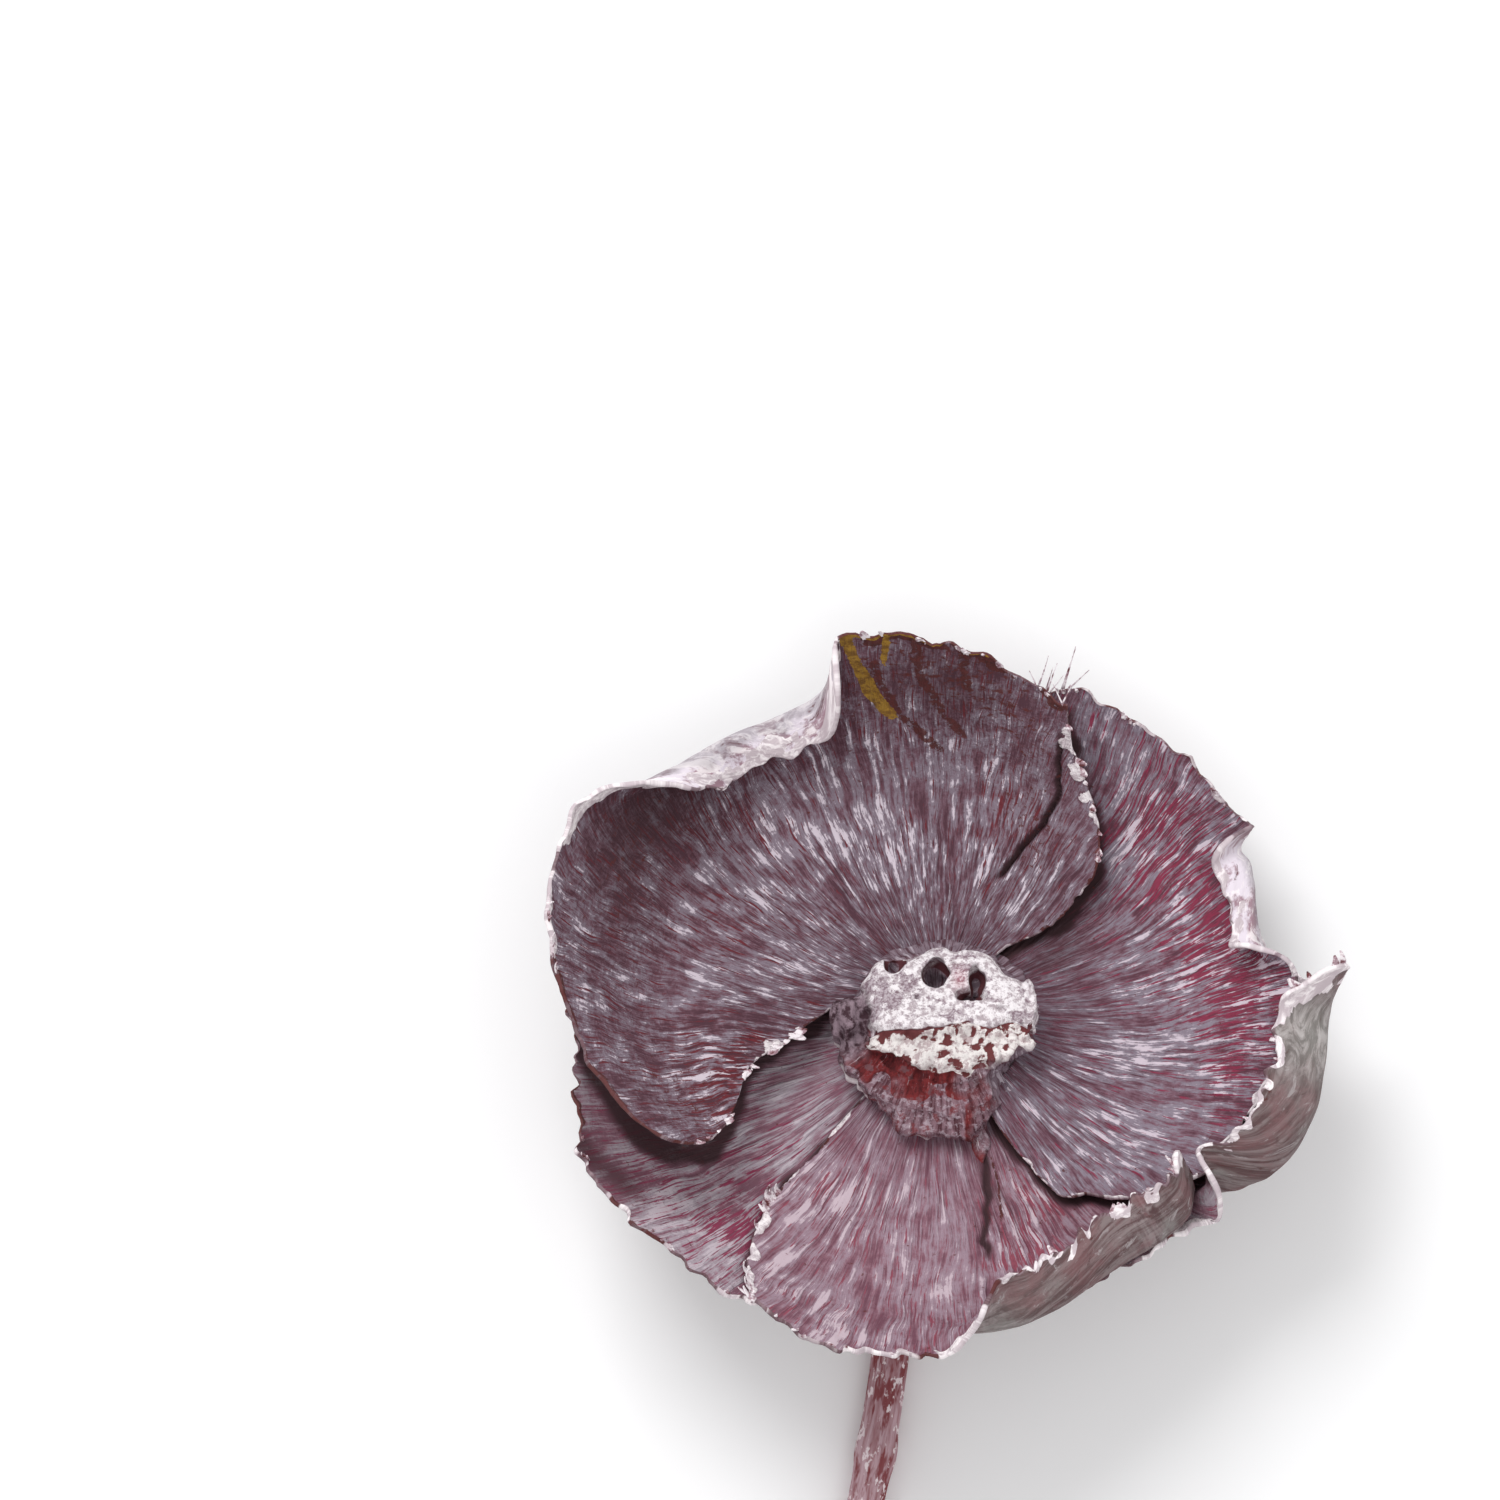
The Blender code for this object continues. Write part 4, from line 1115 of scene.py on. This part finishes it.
def finish_hub(points, normals):
    """Roughen the hub's skin, and mark where each of its finishes lies."""
    x, y, w = points.T
    phi = np.arctan2(y, x)
    crumbs = 0.65 * noise3(points / 1.6, 71) + 0.35 * noise3(points / 0.75, 72)
    clumps = noise3(points / 1.0, 80) + 0.35 * noise3(points / 0.55, 81)
    lumps = noise3(points / 2.3, 78) + 0.5 * noise3(points / 1.1, 79)
    dents = noise3(points / 2.6, 83)
    strands = noise2(phi * 14, w / 5, 74) + 0.6 * noise2(phi * 31, w / 4, 75)
    wave = step_wave(x)
    top = smooth((w - 8.6) / 1.4)
    front = smooth((0.2 - np.sin(phi)) / 0.6)
    below = smooth((2.0 - w) / 2)
    ledge = bump((w - 9.6) / 1.0) * front
    lower = smooth((-4.6 - y + wave + 0.4 * crumbs) / 0.5)
    tier = smooth((w - 9.3 + 1.1 * lumps) / 0.5) * lower
    push = crumbs * (0.17 + 0.38 * (1 - top) + 0.5 * ledge) + 0.26 * strands * (1 - top) * front
    push = push * (1 - 0.7 * below) - 0.12 - 0.5 * bump((y + 4.7 - wave) / 0.5) * top
    push = push + 0.42 * tier * clumps + 0.4 * top * dents
    points = points + normals * push[:, None]

    pits = np.zeros(len(points))
    for px, py, wide, long, depth in HUB_PITS:
        near = smooth((1.25 - np.hypot((x - px) / wide, (y - py) / long)) / 0.5)
        pits = np.maximum(pits, near * smooth((HUB_TOP - 0.5 - w) / 1.2) * (w > HUB_TOP - depth - 1.5))
    crevice = bump((y + 4.7 - wave + 0.5 * lumps) / 0.4) * smooth((w - 8.6) / 0.5) * smooth(0.8 + lumps)
    gaps = tier * smooth((-clumps - 0.12) / 0.25)
    # The pits, the crevice under the top, the tier's gaps and the deepest crumbs, painted dark as shade and
    # as the fibre that shows there
    hollow_shade_and_fibre = pits + crevice + gaps + 0.5 * smooth((-crumbs - 0.42) / 0.15)
    gloom = smooth(1.6 * bump((x + 11.2) / 3.2) * bump((y + 2.4) / 3.8))
    gloom = gloom * smooth((-8.0 - x + 0.5 * lumps) / 0.8)
    brick = smooth((w - 7.5 + 1.6 * lumps) / 0.7) * front
    brick = np.maximum(brick, smooth(1.8 * bump((x + 9.2) / 2.0) * bump((y + 6.4) / 1.6)))
    brick = np.maximum(brick, bump((x - 4.4) / 1.7) * smooth((-12.5 - y + 0.8 * lumps) / 0.8))
    red_side = smooth((0.9 - np.abs((x + 3.5) / 9.5) ** 2 + 0.75 * noise3(points / 2.6, 77)) / 0.5)
    stain = round_marks(HUB_STAINS, x, y) + 0.8 * smooth((-dents - 0.12) / 0.35)
    blush = bump((x - 2.4) / 1.0) * bump((y - 1.6) / 1.7) * top
    behind = np.maximum(smooth((np.sin(phi) + 0.1) / 0.25), smooth((np.cos(phi) - 0.42) / 0.2))
    rings = 3.4 * np.hypot(x + 11.9, 0.6 * (y + 3.2)) + 3.4 * noise3(points / 1.3, 82)
    paint = np.zeros(len(points))
    for centre, size in HUB_DABS:
        far = np.linalg.norm(points - np.array(centre), axis=1) / size
        paint = np.maximum(paint, smooth((1.1 - far + 0.5 * crumbs) / 0.3))
    return points, {
        "hub_x": x, "hub_y": y, "hub_w": w, "round": phi * 12, "chalk": top * (1 - lower), "tier": tier,
        "brick": brick, "hollow_shade_and_fibre": np.clip(hollow_shade_and_fibre, 0, 1), "gloom": gloom, "rooty": behind * (1 - top),
        "paint": paint, "red_side": red_side, "stain": np.clip(stain, 0, 1), "blush": blush,
        "rings": 0.5 + 0.5 * np.sin(rings)}


def make_hub():
    mesh = whole_hub()
    points, marks = finish_hub(read_points(mesh, "co"), read_points(mesh, "normal"))
    add_marks(mesh, marks)
    mesh.vertices.foreach_set("co", to_world(points).astype(np.float32).reshape(-1))
    mesh.materials.clear()
    mesh.materials.append(hub_material())
    mesh.shade_smooth()
    mesh.update()
    hub = add_object("receptacle_skin", mesh)
    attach(hub, "root")
    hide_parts("receptacle")


# Torn flakes and stiff hairs on the edges

# Which edge, from and to (place on the rim, or mm from the root along a side), how many, mm long
FLAKES = (("petal_top", "end", 5, 17, 9, 1.7), ("petal_top", "end", 20, 36, 6, 1.1),
          ("petal_top", "start", 20, 44, 12, 1.3), ("petal_top", "rim", 0.70, 0.80, 7, 1.4),
          ("petal_top", "rim", 0.02, 0.24, 14, 1.3), ("petal_bottom", "start", 18, 39, 11, 2.0),
          ("petal_bottom", "rim", 0.0, 0.32, 9, 1.0), ("petal_right", "rim", 0.66, 0.97, 14, 1.2),
          ("petal_right", "rim", 0.05, 0.25, 5, 0.9), ("sepal_left", "rim", 0.45, 0.98, 12, 1.1),
          ("sepal_right", "rim", 0.5, 0.86, 10, 1.6), ("petal_bottom", "rim", 0.45, 0.98, 10, 1.4))
HAIRS = (("petal_top", "rim", 0.0, 0.05, 5, 4.2), ("petal_right", "rim", 0.93, 0.99, 5, 5.0))
FLAKE_STEPS = 9


def flake_material():
    n = Nodes("flakes", 0.85)
    stain = n.noise(n.vector("fx", "fy", "fz"), 4.0, 0.65, 0.9)
    colour = n.coats((236, 228, 232), ((168, 138, 148), stain, 0.44, 0.56),
                     ((104, 58, 60), stain, 0.56, 0.64))
    return n.finish(colour, None, stain, 0.2)


def edge_place(shell, side, at):
    """A point of an edge with its outward and inward directions, in the cup's frame."""
    if side == "rim":
        i, j = round(at * (len(shell.face) - 1)), -1
        out = shell.along[i, j]
    else:
        i = 0 if side == "start" else -1
        j = int(np.argmin(np.abs(shell.s[i] - at)))
        out = shell.across[i, j] * (1 if i else -1)
    return shell.face[i, j], out / np.linalg.norm(out), shell.up[i, j]


def make_flakes():
    draw = np.random.default_rng(301)
    t = np.linspace(0, 1, FLAKE_STEPS)
    parts = []
    for thin, rows in ((False, FLAKES), (True, HAIRS)):
        for name, side, begin, end, count, size in rows:
            for at in np.sort(draw.uniform(begin, end, count)):
                root, out, up = edge_place(SHELLS[name], side, at)
                reach = size * draw.uniform(0.6, 1.25)
                sway = draw.uniform(-0.5, 0.5)
                curl = draw.uniform(-0.3, 0.5) if thin else draw.uniform(0.3, 1.9)
                ahead = out + sway * np.cross(out, up)
                heading = np.cos(curl * t)[:, None] * ahead + np.sin(curl * t)[:, None] * up
                path = root - 0.5 * out - 0.15 * up + np.cumsum(heading, axis=0) * reach / (FLAKE_STEPS - 1)
                if thin:
                    wide = high = np.linspace(0.13, 0.035, FLAKE_STEPS)
                else:
                    wide = reach * draw.uniform(0.25, 0.45) * (1 - 0.75 * t**1.5)
                    high = np.linspace(0.16, 0.06, FLAKE_STEPS)
                parts.append(tube(path, wide, high, 6 if thin else 10, up))
    points, *faces = joined(parts)
    marks = dict(zip(("fx", "fy", "fz"), points.T))
    thing = mesh_from("edge_flakes", to_world(points), faces, marks, [flake_material()])
    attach(thing, "root")


# Stem

STEM_RADIUS = 2.3
STEM_LENGTH = 200
STEM_RINGS = 460
STEM_SIDES = 44
STEM_KNOTS = (52, 118, 171)
STEM_LOWEST = 0.03


def stem_path():
    """Centre line of the stem in the world, in mm, as in its solid."""
    pace = 0.5
    steps = np.arange(0, STEM_LENGTH + 1, pace)
    dip = np.radians(30.0) * (1 - np.clip((steps - 11.5) / 24.0, 0, 1))
    y = -1.0 - np.concatenate([[0], np.cumsum(np.cos(dip[:-1]) * pace)])
    z = -np.concatenate([[0], np.cumsum(np.sin(dip[:-1]) * pace)])
    z = z - z[-1] + STEM_RADIUS
    along = np.clip((-y - 45) / 155, 0, 1)
    z = z + 1.2 * np.sin(np.pi * along) ** 2
    x = 2.4 * smooth((-y - 11.5) / 42) + 0.5 * np.sin(np.pi * along) * np.sin(y / 31)
    keep = -y <= STEM_LENGTH
    return np.stack([x + CUP_AT[0], y + CUP_AT[1], z], axis=1)[keep]


def stem_material():
    """A rose wash over red-brown near the cup, then crimson, then olive with red specks."""
    n = Nodes("stem_wash", 0.75)

    def grain(down, *settings):
        return n.noise(n.vector("ring_x", "ring_z", n.maths("MULTIPLY", "down", down)), *settings)

    strand = grain(0.09, 4.0, 0.65, 1.3)
    patch = grain(0.28, 4.0, 0.65, 0.45)
    speck = grain(0.55, 3.0, 0.6, 1.2)
    rose = n.coats((150, 106, 112), ((186, 156, 164), strand, 0.36, 0.62),
                   ((118, 46, 50), patch, 0.48, 0.56, 0.9), ((226, 212, 216), speck, 0.57, 0.63, 0.9))
    crimson = n.coats((118, 26, 30), ((166, 48, 48), strand, 0.36, 0.64),
                      ((92, 20, 26), speck, 0.55, 0.64, 0.7))
    olive = n.coats((122, 106, 44), ((168, 152, 84), strand, 0.36, 0.64),
                    ((168, 54, 40), speck, 0.60, 0.66, 0.85))
    wobble = n.total((patch, 40.0), (strand, 60.0), start="down")
    colour = n.coats(rose, (crimson, wobble, 118.0, 138.0), (olive, wobble, 152.0, 176.0))
    colour = n.mix("cut", colour, n.paint((196, 176, 128), (150, 120, 84), speck, 0.45, 0.6))
    height = n.maths("ADD", strand, patch)
    return n.finish(colour, n.step(strand, 0.3, 0.7, 0.8, 0.62), height, 0.25)


def make_stem():
    path = stem_path()
    gone = np.concatenate([[0], np.cumsum(np.linalg.norm(np.diff(path, axis=0), axis=1))])
    at = np.linspace(0, gone[-1], STEM_RINGS)
    path = np.stack([np.interp(at, gone, path[:, i]) for i in range(3)], axis=-1)
    points, quads, tris = tube(path, 1.0, 1.0, STEM_SIDES)
    rings = points[:-2].reshape(STEM_RINGS, STEM_SIDES, 3)
    side = np.arange(STEM_SIDES)
    angle = 2 * np.pi * side / STEM_SIDES

    # Shallow ridges that turn slowly, and knots
    down = at[:, None]
    ridge = 0.10 * np.sin(5 * angle + down / 60) + 0.09 * noise2(side / 3.5, down / 22, 81)
    ridge = ridge + 0.07 * noise2(side / 1.8, down / 6, 82)
    knots = sum(0.35 * bump((at - knot) / 2.2) for knot in STEM_KNOTS)
    size = 2.12 + 0.12 * np.sin(at / 23) + knots
    radius = size[:, None] + ridge
    centre = path[:, None]
    rings = centre + (rings - centre) * radius[..., None]

    # The cut end slants
    rings[-1, :, 1] += 0.35 * (rings[-1, :, 2] - STEM_RADIUS)
    ends = np.stack([path[0], rings[-1].mean(axis=0) + [0, 0.35, 0]])
    points = np.concatenate([rings.reshape(-1, 3), ends])
    points[:, 2] = np.maximum(points[:, 2], STEM_LOWEST)
    marks = {"down": np.concatenate([np.repeat(at, STEM_SIDES), [0, at[-1]]]),
             "ring_x": np.concatenate([np.tile(STEM_RADIUS * np.cos(angle), STEM_RINGS), [0, 0]]),
             "ring_z": np.concatenate([np.tile(STEM_RADIUS * np.sin(angle), STEM_RINGS), [0, 0]]),
             "cut": np.zeros(len(points))}
    marks["cut"][-1] = 1
    thing = mesh_from("stem_skin", points * MM, [quads, tris], marks, [stem_material()])
    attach(thing, "root")
    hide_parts("stem")


# Floor, light and camera

FLOOR_HALF = 3
LIGHTS = (("key", (-0.5, 0.7, 1.0), 0.6, 8.5), ("fill", (0.5, -0.5, 1.2), 1.0, 2.5))
LIT_PLACE = (0, 0.07, 0.01)
ROOM_LIGHT = 0.76
FLOOR_COLOUR = (246, 246, 247)

# The photograph, in pixels: its side and the hub's middle. It shows this many metres across.
PICTURE = 1500
HUB_PIXEL = (940, 1040)
SHOWN = 0.1807
CAMERA_ELEVATION = 82
CAMERA_DISTANCE = 2.4

# That width is true this far above the hub's origin
TRUE_HEIGHT = 0.012
SENSOR = 36


def make_stage():
    corners = [(x * FLOOR_HALF, y * FLOOR_HALF, 0) for x, y in ((-1, -1), (1, -1), (1, 1), (-1, 1))]
    floor_mesh = bpy.data.meshes.new("floor")
    floor_mesh.from_pydata(corners, [], [(0, 1, 2, 3)])
    floor_mesh.materials.append(Nodes("pale_floor", 0.9).finish(FLOOR_COLOUR))
    floor = add_object("floor", floor_mesh)

    world = bpy.data.worlds.new("soft_room")
    world.use_nodes = True
    background = world.node_tree.nodes["Background"]
    background.inputs["Color"].default_value = (1.0, 1.0, 1.0, 1)
    background.inputs["Strength"].default_value = ROOM_LIGHT
    bpy.context.scene.world = world
    bpy.context.scene.view_settings.view_transform = "Standard"

    for name, place, size, energy in LIGHTS:
        data = bpy.data.lights.new(name, "AREA")
        data.size = size
        data.energy = energy
        lamp = add_object(name, data)
        lamp.location = place
        lamp.rotation_mode = "QUATERNION"
        lamp.rotation_quaternion = (Vector(LIT_PLACE) - Vector(place)).to_track_quat("-Z", "Y")


def make_camera():
    """Looks down on the cup as the photograph does."""
    azimuth, elevation = math.radians(TURN), math.radians(CAMERA_ELEVATION)
    back = Vector((math.sin(azimuth) * math.cos(elevation), -math.cos(azimuth) * math.cos(elevation),
                   math.sin(elevation)))
    right = Vector((math.cos(azimuth), math.sin(azimuth), 0))
    up = back.cross(right)
    hub = Vector(CUP_AT) * MM
    middle = PICTURE / 2
    per_pixel = SHOWN / PICTURE
    aim = hub + right * (middle - HUB_PIXEL[0]) * per_pixel + up * (HUB_PIXEL[1] - middle) * per_pixel
    data = bpy.data.cameras.new("camera")
    data.sensor_width = SENSOR
    data.lens = SENSOR * (CAMERA_DISTANCE - TRUE_HEIGHT) / SHOWN
    camera = add_object("camera", data)
    camera.location = aim + back * CAMERA_DISTANCE
    camera.rotation_mode = "QUATERNION"
    camera.rotation_quaternion = Matrix((right, up, back)).transposed().to_quaternion()
    bpy.context.scene.camera = camera


make_hub()
make_flakes()
make_stem()
make_stage()
make_camera()
